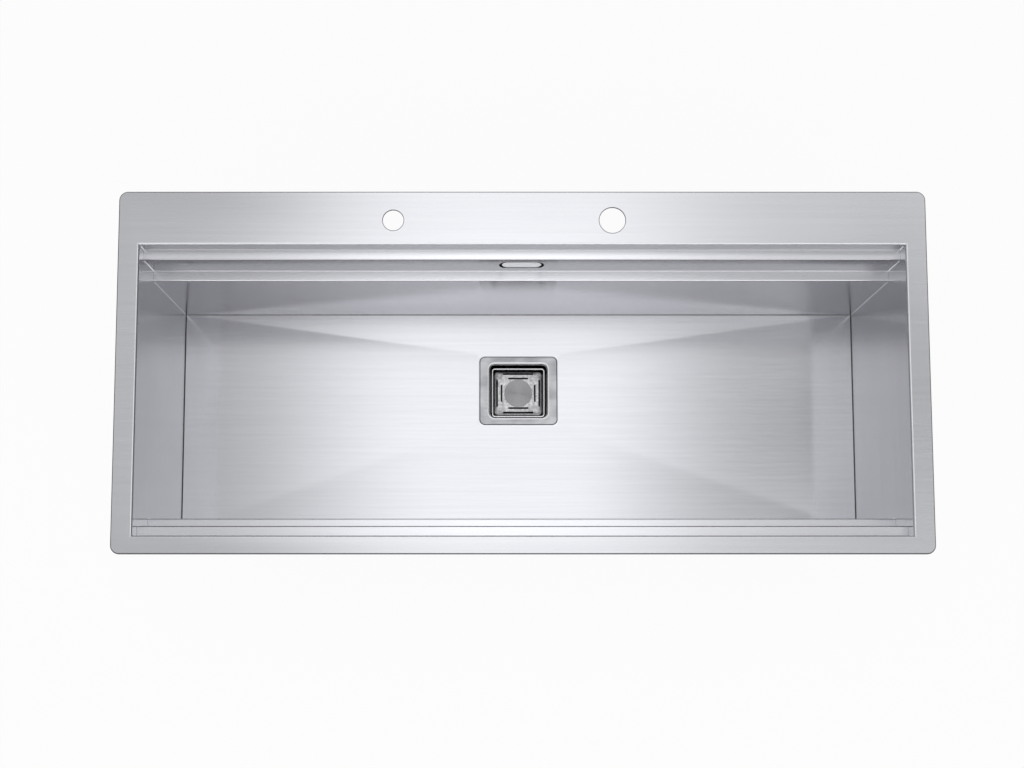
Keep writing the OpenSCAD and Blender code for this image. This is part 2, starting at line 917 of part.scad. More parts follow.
module basket_lid() {
    color(bright_steel)
        translate([0, drain_y, 0])
            difference() {
                pillow(0);
                translate([0, 0, -lid_t])
                    intersection() {
                        pillow(0);
                        translate([0, 0, lid_edge])
                            linear_extrude(2 * lid_rise, center = true)
                                round_rect(lid_w - 2 * lid_t, lid_d - 2 * lid_t, lid_r - lid_t);
                    }
                ring_of_slots(slot_in_x, slot_in_y, slot_in_w, slot_in_d, slot_w);
                ring_of_slots(slot_in_x + slot_out, slot_in_y + slot_out, slot_out_w, slot_out_d, slot_w);
            }
}

module lid_disc() {
    color(bright_steel)
        translate([0, drain_y, lid_top])
            cylinder(h = disc_t, d = disc_d);
}

// Stem that joins the lid and the basket, with a skirt that holds the seal
module basket_stem() {
    under_lid = lid_top - lid_t;
    color(grey_plastic)
        translate([0, drain_y, 0]) {
            translate([0, 0, basket_floor])
                cylinder(h = under_lid - basket_floor, d = post_d);
            translate([0, 0, basket_floor])
                cylinder(h = post_web, d = stem_d);
        }
}

module basket_seal() {
    color(black_rubber)
        translate([0, drain_y, cup_floor + seal_clear])
            difference() {
                cylinder(h = basket_seal_t, r = basket_seal_r);
                translate([0, 0, -eps])
                    cylinder(h = basket_seal_t + 2 * eps, r = basket_seal_r - basket_seal_w);
            }
}

// Plate that hides the overflow slot, on a post from the box behind
module overflow_plate() {
    face_y = mouth_back - ledge_w + plate_inset;
    color(bright_steel)
        translate([0, 0, slot_z]) {
            translate([0, face_y + plate_t, 0])
                rotate([90, 0, 0])
                    linear_extrude(plate_t)
                        stadium(slot_l - 2 * plate_end_gap, slot_h - 2 * plate_side_gap);
            translate([0, face_y + plate_t - eps, 0])
                rotate([-90, 0, 0])
                    cylinder(h = box_back - box_wall - face_y - plate_t + eps, d = plate_post_d);
        }
}

module stud_holes(length) {
    for (side = [-1, 1])
        translate([side * stud_x, 0, 0])
            rotate([-90, 0, 0])
                cylinder(h = length, d = stud_d + 2 * stud_play);
}

module overflow_seal() {
    color(black_rubber)
        translate([0, wall_back, slot_z])
            difference() {
                translate([0, box_seal_t, 0])
                    rotate([90, 0, 0])
                        linear_extrude(box_seal_t)
                            difference() {
                                stadium(box_flange_w, box_flange_h);
                                stadium(slot_l + 1, slot_h + 1);
                            }
                translate([0, -eps, 0])
                    stud_holes(box_seal_t + 2 * eps);
            }
}

module overflow_box() {
    depth = box_back - box_front;
    color(grey_plastic)
        translate([0, 0, slot_z])
            difference() {
                union() {
                    translate([0, box_front + box_flange_t, 0])
                        rotate([90, 0, 0])
                            linear_extrude(box_flange_t)
                                stadium(box_flange_w, box_flange_h);
                    translate([0, box_back, 0])
                        rotate([90, 0, 0])
                            linear_extrude(depth)
                                round_rect(box_w, box_h, 4);
                    translate([0, hose_y, -box_h / 2 - spigot_gap - spigot_l])
                        cylinder(h = spigot_gap + spigot_l + eps, d = spigot_d);
                }
                translate([0, box_back - box_wall, 0])
                    rotate([90, 0, 0])
                        linear_extrude(depth)
                            round_rect(box_w - 2 * box_wall, box_h - 2 * box_wall, 2);
                translate([0, hose_y, -box_h / 2 - spigot_gap - spigot_l - eps])
                    cylinder(h = spigot_gap + spigot_l + box_wall + 2 * eps, d = spigot_bore);
                translate([0, box_front - eps, 0])
                    stud_holes(box_flange_t + 2 * eps);
            }
}

module overflow_studs() {
    color(steel)
        for (side = [-1, 1])
            translate([side * stud_x, wall_back, slot_z])
                rotate([-90, 0, 0])
                    cylinder(h = stud_l, d = stud_d);
}

module overflow_nuts() {
    color(bright_steel)
        for (side = [-1, 1])
            translate([side * stud_x, box_front + box_flange_t, slot_z])
                rotate([-90, 0, 0])
                    difference() {
                        cylinder(h = nut_t, d = nut_d, $fn = 6);
                        translate([0, 0, -eps])
                            cylinder(h = nut_t + 2 * eps, d = stud_d + 2 * screw_play);
                    }
}

// Centre of the hose at a distance s from its top, as [y, z, tilt from straight down]
function hose_at(s) =
    s <= down_l
        ? [hose_y, hose_top - s, 0]
        : s <= down_l + arc_l
            ? let (a = (s - down_l) / arc_l * 90)
                [bend_y + hose_bend_r * cos(a), bend_top - hose_bend_r * sin(a), a]
            : [bend_y - (s - down_l - arc_l), port_z, 90];

// Ring of the hose's sides, square to its route
function hose_ring(s, r) =
    let (p = hose_at(s))
        [for (k = [0:hose_sides - 1])
            let (a = 360 / hose_sides * (k + 0.5))
                [r * cos(a), p[0] + r * sin(a) * cos(p[2]), p[1] + r * sin(a) * sin(p[2])]];

module overflow_hose() {
    corner = 1 / cos(180 / hose_sides);
    rib_count = floor((hose_l - 2 * hose_cuff) / rib_step);
    rib_pitch = (hose_l - 2 * hose_cuff) / rib_count;
    bore_r = (hose_bore / 2) * corner;
    outside = concat(
        [hose_ring(0, hose_rib), hose_ring(hose_cuff - rib_pitch / 2, hose_rib)],
        [for (i = [0:rib_count - 1]) each [
            hose_ring(hose_cuff + rib_pitch * i, hose_valley),
            hose_ring(hose_cuff + rib_pitch * (i + 0.5), hose_rib)
        ]],
        [hose_ring(hose_l - hose_cuff, hose_valley)],
        [hose_ring(hose_l - hose_cuff + rib_pitch / 2, hose_rib), hose_ring(hose_l, hose_rib)]
    );
    bore_steps = 2 * rib_count;
    bore_line = [for (i = [0:bore_steps]) hose_cuff + (hose_l - 2 * hose_cuff) * i / bore_steps];
    inside = [for (s = concat([0], bore_line, [hose_l])) hose_ring(s, bore_r)];
    rings = concat(outside, reversed(inside));
    count = len(rings);
    color(grey_plastic)
        polyhedron(
            points = [for (ring = rings) each ring],
            faces = [
                for (i = [0:count - 1])
                    for (k = [0:hose_sides - 1])
                        let (a = i * hose_sides + k, b = i * hose_sides + (k + 1) % hose_sides)
                            let (next = ((i + 1) % count) * hose_sides)
                                let (c = next + (k + 1) % hose_sides, d = next + k)
                                    each [[a, b, c], [a, c, d]]
            ]
        );
}

// Spring band with two ears, round the end of the hose
module hose_band() {
    color(bright_steel)
        difference() {
            union() {
                cylinder(h = band_w, r = hose_rib + band_play + band_t);
                for (side = [-1, 1])
                    translate([side * 1.5 - band_t / 2, hose_rib, 0])
                        cube([band_t, band_ear, band_w]);
            }
            translate([0, 0, -eps])
                cylinder(h = band_w + 2 * eps, r = hose_rib + band_play);
        }
}

module hose_clip_top() {
    translate([0, hose_y, hose_top - band_inset - band_w])
        hose_band();
}

module hose_clip_bottom() {
    translate([0, port_y + band_inset, port_z])
        rotate([-90, 0, 0])
            mirror([0, 1, 0])
                hose_band();
}

deck();
edge_gasket();
tap_stiffener();
rear_wall();
front_wall();
left_wall();
right_wall();
floor_front();
floor_right();
floor_rear();
floor_left();
drain_recess();
floor_pad_left();
floor_pad_right();
side_pad_left();
side_pad_right();
earth_tag();
clip_brackets();
drain_flange();
drain_top_seal();
drain_bottom_seal();
drain_body();
screw_insert();
drain_screw();
basket_cup();
basket_lid();
lid_disc();
basket_stem();
basket_seal();
overflow_plate();
overflow_seal();
overflow_box();
overflow_studs();
overflow_nuts();
overflow_hose();
hose_clip_top();
hose_clip_bottom();
clip_screw(1);  // clip_screw_1
clip_screw(2);  // clip_screw_2
clip_screw(3);  // clip_screw_3
clip_screw(4);  // clip_screw_4
clip_screw(5);  // clip_screw_5
clip_screw(6);  // clip_screw_6
clip_screw(7);  // clip_screw_7
clip_screw(8);  // clip_screw_8
clip_claw(1);  // clip_claw_1
clip_claw(2);  // clip_claw_2
clip_claw(3);  // clip_claw_3
clip_claw(4);  // clip_claw_4
clip_claw(5);  // clip_claw_5
clip_claw(6);  // clip_claw_6
clip_claw(7);  // clip_claw_7
clip_claw(8);  // clip_claw_8
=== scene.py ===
# %% [markdown]
# # Single bowl kitchen sink
# A wide inset sink of brushed stainless steel, seen from above as in a catalogue picture.
# The frame holds every rigid piece in its true place. This script gives the pieces their
# finish, replaces the ones whose form needs more than the frame gives, and lights them.
# Every length is in metres, so sizes that are named in millimetres are multiplied by MM.

# %% Load the frame
import json
import math

import bpy
import numpy as np
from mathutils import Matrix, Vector


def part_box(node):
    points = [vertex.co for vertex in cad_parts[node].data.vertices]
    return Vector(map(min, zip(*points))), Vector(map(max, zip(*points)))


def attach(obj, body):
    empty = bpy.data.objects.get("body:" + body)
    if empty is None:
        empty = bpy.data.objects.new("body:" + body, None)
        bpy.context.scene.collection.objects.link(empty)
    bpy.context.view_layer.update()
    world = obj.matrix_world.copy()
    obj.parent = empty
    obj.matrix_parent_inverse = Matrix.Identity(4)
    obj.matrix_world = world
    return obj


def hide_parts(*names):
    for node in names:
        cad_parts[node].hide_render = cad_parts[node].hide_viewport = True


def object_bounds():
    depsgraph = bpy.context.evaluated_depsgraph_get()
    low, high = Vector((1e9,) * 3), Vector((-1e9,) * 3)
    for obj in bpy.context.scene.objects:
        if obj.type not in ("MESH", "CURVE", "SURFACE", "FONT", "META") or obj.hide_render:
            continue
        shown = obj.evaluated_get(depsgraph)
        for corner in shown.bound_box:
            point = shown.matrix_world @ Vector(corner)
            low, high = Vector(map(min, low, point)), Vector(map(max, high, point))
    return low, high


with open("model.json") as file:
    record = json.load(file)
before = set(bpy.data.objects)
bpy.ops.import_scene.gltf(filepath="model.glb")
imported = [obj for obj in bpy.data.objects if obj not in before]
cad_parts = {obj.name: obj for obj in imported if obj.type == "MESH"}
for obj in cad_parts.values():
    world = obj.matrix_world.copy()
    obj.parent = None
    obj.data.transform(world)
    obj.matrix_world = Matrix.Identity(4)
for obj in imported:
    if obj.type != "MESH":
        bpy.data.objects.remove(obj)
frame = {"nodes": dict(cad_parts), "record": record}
nodes = frame["nodes"]
cad_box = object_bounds()
MM = 0.001
print(len(nodes), "pieces in the frame, box", [round(c, 4) for corner in cad_box for c in corner])

# %% [markdown]
# ## Places that the new pieces share
# The rim's plane, the bowl and the drain are read from the frame's own pieces, so a piece
# made here stays where its neighbours are if the sink's sizes change.

# %% Places from the frame
rim_low, rim_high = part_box("deck")
bowl_low = Vector((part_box("left_wall")[1].x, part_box("front_wall")[1].y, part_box("left_wall")[0].z))
bowl_high = Vector((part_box("right_wall")[0].x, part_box("rear_wall")[0].y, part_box("left_wall")[1].z))
recess_low, recess_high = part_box("drain_recess")
flange_low, flange_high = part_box("drain_flange")
drain = (flange_low + flange_high) / 2
SHEET = 1.2 * MM
FLOOR_Z = bowl_low.z
PANEL_Z = recess_high.z
print("bowl floor from", bowl_low[:], "to", bowl_high[:], "drain at", drain[:])

# %% [markdown]
# ## Camera
# The picture was taken from almost straight above, a little in front of the bowl's middle,
# so the rear wall shows and the front wall hides. The lens shift moves the sink up in the
# frame without tilting the camera more, which keeps the rim's edges parallel.

# %% Camera
camera_data = bpy.data.cameras.new("camera")
camera = bpy.data.objects.new("camera", camera_data)
bpy.context.scene.collection.objects.link(camera)
bpy.context.scene.camera = camera
camera.location = (-40.018 * MM, -347.625 * MM, 1250.14 * MM)
camera.rotation_euler = (math.radians(3.861), 0, 0)
camera_data.sensor_width = 36
camera_data.lens = 33.55
camera_data.shift_x = 0.019
camera_data.shift_y = 0.18
camera_data.clip_start = 0.01
print("camera at", camera.location[:], "with a", camera_data.lens, "mm lens")

# %% [markdown]
# ## Small helpers
# Colours are written as sRGB hex values, as a paint chart gives them, and turned to the
# linear values that the renderer works with. One function adds a shader node with its
# settings and its links, which keeps each material short enough to read.

# %% Colour and node helpers
def colour(code):
    """Linear RGBA of an sRGB hex code: c / 12.92 up to 0.04045, and ((c + 0.055) / 1.055) ** 2.4 above."""
    parts = [int(code[i:i + 2], 16) / 255 for i in (1, 3, 5)]
    return [c / 12.92 if c <= 0.04045 else ((c + 0.055) / 1.055) ** 2.4 for c in parts] + [1]


def add(tree, kind, inputs=(), out=0, **settings):
    """Adds a shader node and returns one of its outputs.

    Each input, by name or in order, gets a value or another node's output. None leaves it as it is.
    """
    made = tree.nodes.new("ShaderNode" + kind)
    for key, value in settings.items():
        setattr(made, key, value)
    for key, value in inputs.items() if isinstance(inputs, dict) else enumerate(inputs):
        if isinstance(value, bpy.types.NodeSocket):
            tree.links.new(value, made.inputs[key])
        elif value is not None:
            made.inputs[key].default_value = value
    return made.outputs[out] if len(made.outputs) else None


def new_material(name):
    """An empty node material, as (material, tree, place), with place the object's own coordinates."""
    material = bpy.data.materials.new(name)
    material.use_nodes = True
    material.node_tree.nodes.clear()
    return material, material.node_tree, add(material.node_tree, "TexCoord", out="Object")


def grains(tree, place, spacing, detail=3.0, roughness=0.5):
    """A pattern of soft grains, from 0 to 1, that measure spacing in millimetres along X, Y and Z."""
    scaled = add(tree, "Mapping", {"Vector": place, "Scale": [1 / (s * MM) for s in spacing]})
    return add(tree, "TexNoise", {"Vector": scaled, "Scale": 1.0, "Detail": detail, "Roughness": roughness})


def outline_distance(tree, place, centre, half_w, half_d, radius):
    """Distance from the outline of a rectangle with rounded corners, seen from above, negative inside.

    It is the length of max(|place - centre| - half + radius, 0), less the radius.
    """
    offset = add(tree, "VectorMath", [place, centre], operation="SUBTRACT")
    flat = add(tree, "VectorMath", [offset, (1, 1, 0)], operation="MULTIPLY")
    sides = add(tree, "VectorMath", [flat], operation="ABSOLUTE")
    past = add(tree, "VectorMath", [sides, (half_w - radius, half_d - radius, 0)], operation="SUBTRACT")
    kept = add(tree, "VectorMath", [past, (0, 0, 0)], operation="MAXIMUM")
    length = add(tree, "VectorMath", [kept], out="Value", operation="LENGTH")
    return add(tree, "Math", [length, radius], operation="SUBTRACT")


ABOVE_BOWL = ((bowl_low.x + bowl_high.x) / 2, (bowl_low.y + bowl_high.y) / 2, 1.0)


def away_from_bowl(tree, place):
    """1 on faces that turn away from a point one metre over the bowl, and 0 on faces that turn to it.

    It is whether the normal and the line from that point to the face point the same way.
    """
    normal = add(tree, "NewGeometry", out="Normal")
    sight = add(tree, "VectorMath", [place, ABOVE_BOWL], operation="SUBTRACT")
    facing = add(tree, "VectorMath", [normal, sight], out="Value", operation="DOT_PRODUCT")
    return add(tree, "Math", [facing, 0.0], operation="GREATER_THAN")


print("helpers ready")

# %% [markdown]
# ## Studio
# Steel shows its surroundings more than its own colour, so the studio is part of the
# finish. A large soft light hangs over the sink. It is brightest above the middle and
# falls off to both sides, and that fall is what makes the bright band down the middle of
# the bowl. A second soft light stands in front, where no flat face mirrors it to the
# camera, only the bends, and it draws the fine bright lines along them. Darker curtains
# at the back and right draw the rim's thin dark outline. The camera sees only a plain
# white floor and background.
# A dark band painted along the rim's rounded edge, painted shade, adds to that outline on every side.

# %% Floor and world
def quad(name, corners):
    """A flat rectangle from four corners, as an object of the stage."""
    mesh = bpy.data.meshes.new(name)
    mesh.from_pydata([tuple(c) for c in corners], [], [(0, 1, 2, 3)])
    made = bpy.data.objects.new(name, mesh)
    bpy.context.scene.collection.objects.link(made)
    return made


def seen_directly(tree):
    """1 for rays from the camera, a mirror or glass, and 0 for the rays that carry light."""
    path = add(tree, "LightPath").node.outputs
    either = add(tree, "Math", [path["Is Camera Ray"], path["Is Glossy Ray"]], operation="MAXIMUM")
    return add(tree, "Math", [either, path["Is Transmission Ray"]], operation="MAXIMUM")


world = bpy.data.worlds.new("studio_air")
world.use_nodes = True
world.node_tree.nodes.clear()
level = add(world.node_tree, "MapRange", [seen_directly(world.node_tree), 0, 1, 0.55, 1.0])
air = add(world.node_tree, "Background", [(1, 1, 1, 1), level])
add(world.node_tree, "OutputWorld", [air])
bpy.context.scene.world = world
bpy.context.scene.view_settings.view_transform = "Standard"

FLOOR_GAP = 0.5 * MM
FLOOR_HALF = 6.0
floor_z = cad_box[0][2] - FLOOR_GAP
floor = quad("studio_floor", [(FLOOR_HALF * x, FLOOR_HALF * y, floor_z)
                              for x, y in ((-1, -1), (1, -1), (1, 1), (-1, 1))])
material, tree, _ = new_material("white_paper_floor")
matt = add(tree, "BsdfDiffuse", [colour("#FAFAFA")])
glow = add(tree, "Emission", [(1, 1, 1, 1), 1.0])
share = add(tree, "MapRange", [seen_directly(tree), 0, 1, 0.0, 0.94])
paper = add(tree, "MixShader", [share, matt, glow])
below = add(tree, "NewGeometry", out="Backfacing")
sided = add(tree, "MixShader", [below, paper, add(tree, "BsdfTransparent")])
add(tree, "OutputMaterial", [sided])
floor.data.materials.append(material)
print("floor at z", round(floor_z, 4))

# %% Soft light and curtains
CARD_Z = 2.2
CARD_X = 2.3
CARD_FRONT, CARD_BACK = -2.4, 2.9
CARD_LEVEL = 1.37
CURTAIN_LEVELS = (1.7, 0.25, 0.25, 0.6)


def card_pattern(tree, x, y, z):
    """Full level over the middle, about half of it to both sides, and a darker gap to the front.

    Each ramp eases between two places in metres, from one level to another, as 3t**2 - 2t**3 does.
    """
    left, right, far_right, edge, floor_start, floor_end, gap, fall_start, fall_end, back, front = [
        add(tree, "MapRange", [place, *ramp], interpolation_type="SMOOTHSTEP") for place, *ramp in (
            (x, -1.15, -0.25, 0.48, 1.0), (x, 0.25, 0.95, 1.0, 0.76), (x, 0.25, 1.2, 0.0, 0.46),
            (x, 1.1, 1.34, 0.0, 0.16), (y, 0.0, 0.2, 0.0, 1.0), (y, 0.9, 1.12, 1.0, 0.0),
            (y, -0.65, 0.1, 0.4, 1.0), (y, 0.12, 0.55, 0.0, 0.12), (y, 0.75, 1.02, 1.0, 0.0),
            (y, 1.5, 1.9, 1.0, 0.4), (y, -1.9, -1.4, 1.0, 0.0))]
    darker = add(tree, "Math", [far_right, edge], operation="ADD")
    for part in (floor_start, floor_end):
        darker = add(tree, "Math", [darker, part], operation="MULTIPLY")
    dim = add(tree, "Math", [1.0, darker], operation="SUBTRACT")
    fall = add(tree, "Math", [fall_start, fall_end], operation="MULTIPLY")
    wide = add(tree, "Math", [gap, fall], operation="SUBTRACT")
    for factor in (left, right, dim, back, CARD_LEVEL):
        wide = add(tree, "Math", [wide, factor], operation="MULTIPLY")
    return add(tree, "Math", [wide, front], operation="ADD")


def curtain_pattern(level):
    """A pattern that falls from a level at the light's edge to half of it at the floor."""
    return lambda tree, x, y, z: add(tree, "MapRange", [z, -0.2, CARD_Z, level / 2, level],
                                     interpolation_type="SMOOTHSTEP")


def light_cloth(name, pattern):
    """Cloth that shines. pattern(tree, x, y, z) gives its strength at a place in the room."""
    material, tree, place = new_material(name)
    x, y, z = add(tree, "SeparateXYZ", [place]).node.outputs
    add(tree, "OutputMaterial", [add(tree, "Emission", [(1, 1, 1, 1), pattern(tree, x, y, z)])])
    return material


corners = [(-CARD_X, CARD_FRONT), (CARD_X, CARD_FRONT), (CARD_X, CARD_BACK), (-CARD_X, CARD_BACK)]
card = quad("soft_light", [(x, y, CARD_Z) for x, y in (corners[0], corners[3], corners[2], corners[1])])
card.data.materials.append(light_cloth("soft_light_cloth", card_pattern))
stage_lights = [card]
for i, level in enumerate(CURTAIN_LEVELS):
    (ax, ay), (bx, by) = corners[i], corners[(i + 1) % 4]
    curtain = quad(f"curtain_{i + 1}", [(ax, ay, floor_z), (ax, ay, CARD_Z),
                                        (bx, by, CARD_Z), (bx, by, floor_z)])
    curtain.data.materials.append(light_cloth(f"curtain_cloth_{i + 1}", curtain_pattern(level)))
    stage_lights.append(curtain)
for piece in stage_lights:
    piece.visible_camera = False
    piece.visible_shadow = False
print("soft light of", 2 * CARD_X, "by", CARD_BACK - CARD_FRONT, "m at", CARD_Z, "m")

# %% [markdown]
# ## Brushed steel
# The bowl and rim are stainless steel sheet, ground with a belt so that fine scratches
# run one way. The eye sees a soft shine that stretches across the scratches and stays
# sharp along them, and faint streaks. The shader's anisotropy makes the stretched shine.
# It needs the direction across the scratches, which is the cross product of the scratch
# direction and the surface's normal, so it holds on flat faces and round the bends. A
# hundredth of the other two directions keeps the product from vanishing on an end face. The
# streaks are noise that is long one way and short the other. Real scratches are about
# 0.05 mm wide; they are drawn ten times wider here, or the picture would lose them. Only
# the faces that a user sees are ground. The outside keeps the dull grey skin of the rolling
# mill, and the ledges are rubbed a little rougher by the trays that slide on them.
# The walls' level faces are also painted lighter, painted light, and their upright faces above the lower
# ledge painted darker, painted shade.

# %% Brushed steel
MILL_SHADE, MILL_TINT, MILL_ROUGHER = "#8B8B8F", "#A3A3A6", 0.22
# The edge tint is painted shade on the rim's rounded edge.
# The level tint is painted light on level faces, and the wall tint painted shade on upright faces.
# The spot tint is painted shade round the punched holes.
PAINTED_LIGHT_LEVEL_TINT, PAINTED_SHADE_WALL_TINT, PAINTED_EDGE_SHADE_TINT, PAINTED_HOLE_SHADE_TINT = "#F8F9FE", "#B4B4B7", "#5C5C5F", "#58585B"


def brushed_steel(name, along, tint, shade, roughness, streak=0.55, anisotropy=0.85, shaded_edge_outline=None,
                  rubbed_and_lit=0.0, shaded_hole_edges=(), shaded_walls_above=None):
    """Stainless sheet with belt scratches along X, Y or Z (along = 0, 1 or 2), dull on its outside.

    shaded_edge_outline is a centre, half sizes and a corner radius: past that outline the rim's rounded edge
    is painted dark, painted shade for the dark reflection along it.
    shaded_hole_edges are punched holes, as centre and radius, whose edges are painted dark for half a
    millimetre, painted shade.
    rubbed_and_lit is how much rougher than the rest the level faces are, which are also painted a lighter
    tint, painted light, and shaded_walls_above is the height in metres above which the upright faces are
    painted a darker tint, painted shade.
    """
    material, tree, place = new_material(name)
    fine, band = [streak] * 3, [4.5] * 3
    fine[along], band[along] = 70, 300
    streaks = grains(tree, place, fine, detail=5, roughness=0.7)
    bands = grains(tree, place, band, detail=2)
    clouds = grains(tree, place, (210, 160, 160), detail=1)
    mixed = add(tree, "Math", [bands, 0.5, streaks], operation="MULTIPLY_ADD")
    depth = add(tree, "MapRange", [mixed, 0.5, 1.0, 0.0, 1.0])
    tone = add(tree, "Mix", {0: depth, 6: colour(shade), 7: colour(tint)}, out=2, data_type="RGBA")
    # Painted shade: past the outline the rim's rounded edge turns dark.
    if shaded_edge_outline:
        past = add(tree, "MapRange", [outline_distance(tree, place, *shaded_edge_outline), 0.0, 0.5 * MM, 0.0, 1.0])
        tone = add(tree, "Mix", {0: past, 6: tone, 7: colour(PAINTED_EDGE_SHADE_TINT)}, out=2, data_type="RGBA")
    # Painted shade: a dark ring round each punched hole's edge.
    for centre, radius in shaded_hole_edges:
        away = outline_distance(tree, place, centre, radius, radius, radius)
        near = add(tree, "MapRange", [away, 0.5 * MM, 1.0 * MM, 1.0, 0.0])
        tone = add(tree, "Mix", {0: near, 6: tone, 7: colour(PAINTED_HOLE_SHADE_TINT)}, out=2, data_type="RGBA")
    normal = add(tree, "NewGeometry", out="Normal")
    level = add(tree, "MapRange", [add(tree, "SeparateXYZ", [normal], out=2), 0.8, 0.98, 0.0, 1.0])
    # Painted light: level faces get a lighter tint.
    if rubbed_and_lit:
        tone = add(tree, "Mix", {0: level, 6: tone, 7: colour(PAINTED_LIGHT_LEVEL_TINT)}, out=2, data_type="RGBA")
    # Painted shade: upright faces above that height get a darker tint.
    if shaded_walls_above is not None:
        height = add(tree, "SeparateXYZ", [place], out=2)
        high = add(tree, "Math", [height, shaded_walls_above], operation="GREATER_THAN")
        upright = add(tree, "Math", [high, level], operation="SUBTRACT")
        tone = add(tree, "Mix", {0: upright, 6: tone, 7: colour(PAINTED_SHADE_WALL_TINT)}, out=2, data_type="RGBA")
    outside = away_from_bowl(tree, place)
    skin = add(tree, "Mix", {0: depth, 6: colour(MILL_SHADE), 7: colour(MILL_TINT)}, out=2, data_type="RGBA")
    tone = add(tree, "Mix", {0: outside, 6: tone, 7: skin}, out=2, data_type="RGBA")
    uneven = add(tree, "MapRange", [streaks, 0.3, 0.7, roughness - 0.03, roughness + 0.03])
    rough = add(tree, "Math", [clouds, 0.05, add(tree, "Math", [uneven, 0.025], operation="SUBTRACT")],
                operation="MULTIPLY_ADD")
    rough = add(tree, "Math", [level, rubbed_and_lit, rough], operation="MULTIPLY_ADD")
    rough = add(tree, "Math", [outside, MILL_ROUGHER, rough], operation="MULTIPLY_ADD")
    direction = [0.01, 0.01, 0.01]
    direction[along] = 1.0
    across = add(tree, "VectorMath", [direction, normal], operation="CROSS_PRODUCT")
    raised = add(tree, "Bump", {"Strength": 0.03, "Distance": 0.05 * MM, "Height": streaks})
    shader = add(tree, "BsdfPrincipled", {
        "Base Color": tone, "Metallic": 1.0, "Roughness": rough, "Anisotropic": anisotropy,
        "Tangent": across, "Normal": raised})
    add(tree, "OutputMaterial", [shader])
    return material


# The rim's outer 1.8 mm, its rounded edge, is painted dark: painted shade.
rim_half = (rim_high - rim_low) / 2 - Vector((1.8, 1.8, 0)) * MM
rim_shaded_edge = ((rim_low + rim_high) / 2, rim_half.x, rim_half.y, 10.2 * MM)
tap_hole = ((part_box("tap_stiffener")[0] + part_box("tap_stiffener")[1]) / 2, 17.5 * MM)
control_hole = ((-173.5 * MM, tap_hole[0].y, 0.0), 14 * MM)
# The tap and control holes get that painted dark ring: painted shade.
steel_rim = brushed_steel("stainless_belt_ground_rim", 0, "#EAEBEF", "#E0E1E6", 0.25, shaded_edge_outline=rim_shaded_edge,
                          shaded_hole_edges=(tap_hole, control_hole))
steel_wall = brushed_steel("stainless_belt_ground_wall", 0, "#E3E3E7", "#DADADE", 0.17, rubbed_and_lit=0.12,
                           shaded_walls_above=-53.5 * MM)
# The left and right walls are the same steel as the rest with a darker tint: painted shade.
steel_side_shaded = brushed_steel("stainless_belt_ground_side_shaded", 1, "#CDCDD0", "#C2C2C5", 0.22)
steel_floor = brushed_steel("stainless_belt_ground_floor", 0, "#E0E1E6", "#D7D8DD", 0.17)
steel_plate = brushed_steel("stainless_satin_plate", 0, "#ECECED", "#DFDFE0", 0.16, 0.45, 0.5)
steel_mill = brushed_steel("stainless_mill_finish", 1, "#C8C8CA", "#BABABC", 0.38, 1.0, 0.3)
steel_weld = brushed_steel("stainless_ground_weld", 2, "#F0F0F1", "#E4E4E6", 0.12, 0.5, 0.3)
steel_joint = brushed_steel("stainless_dull_joint", 1, "#6E6E70", "#58585A", 0.35, 0.5, 0.3)
steel_hollow = brushed_steel("stainless_hollow_joint", 0, "#B6B6B8", "#A2A2A4", 0.25, 0.5, 0.3)
print("brushed steels:", [m.name for m in bpy.data.materials if m.name.startswith("stainless")])

# %% [markdown]
# ## Other metals
# The strainer's lid is blasted with glass beads, which leaves a matt skin of tiny pits
# with no direction. The disc in its middle is faced on a lathe, so its scratches are
# circles and the shine turns round the centre. Both are drawn several times coarser than
# they are, so that they show in a picture of the whole sink. Clips, nuts and hose bands are
# zinc plated, a bluish bright metal with a slightly cloudy skin, and their screws are
# rolled with a thread.
# Inside the waste flange's cup, below its bright bend, the metal is painted dark: painted shade.
# The lid's upright faces are painted nearly black, painted shade for the dark inside its slots.
# The strainer cup is painted dark below its rim, painted shade, with a near-white band at its top, partly
# painted highlight.

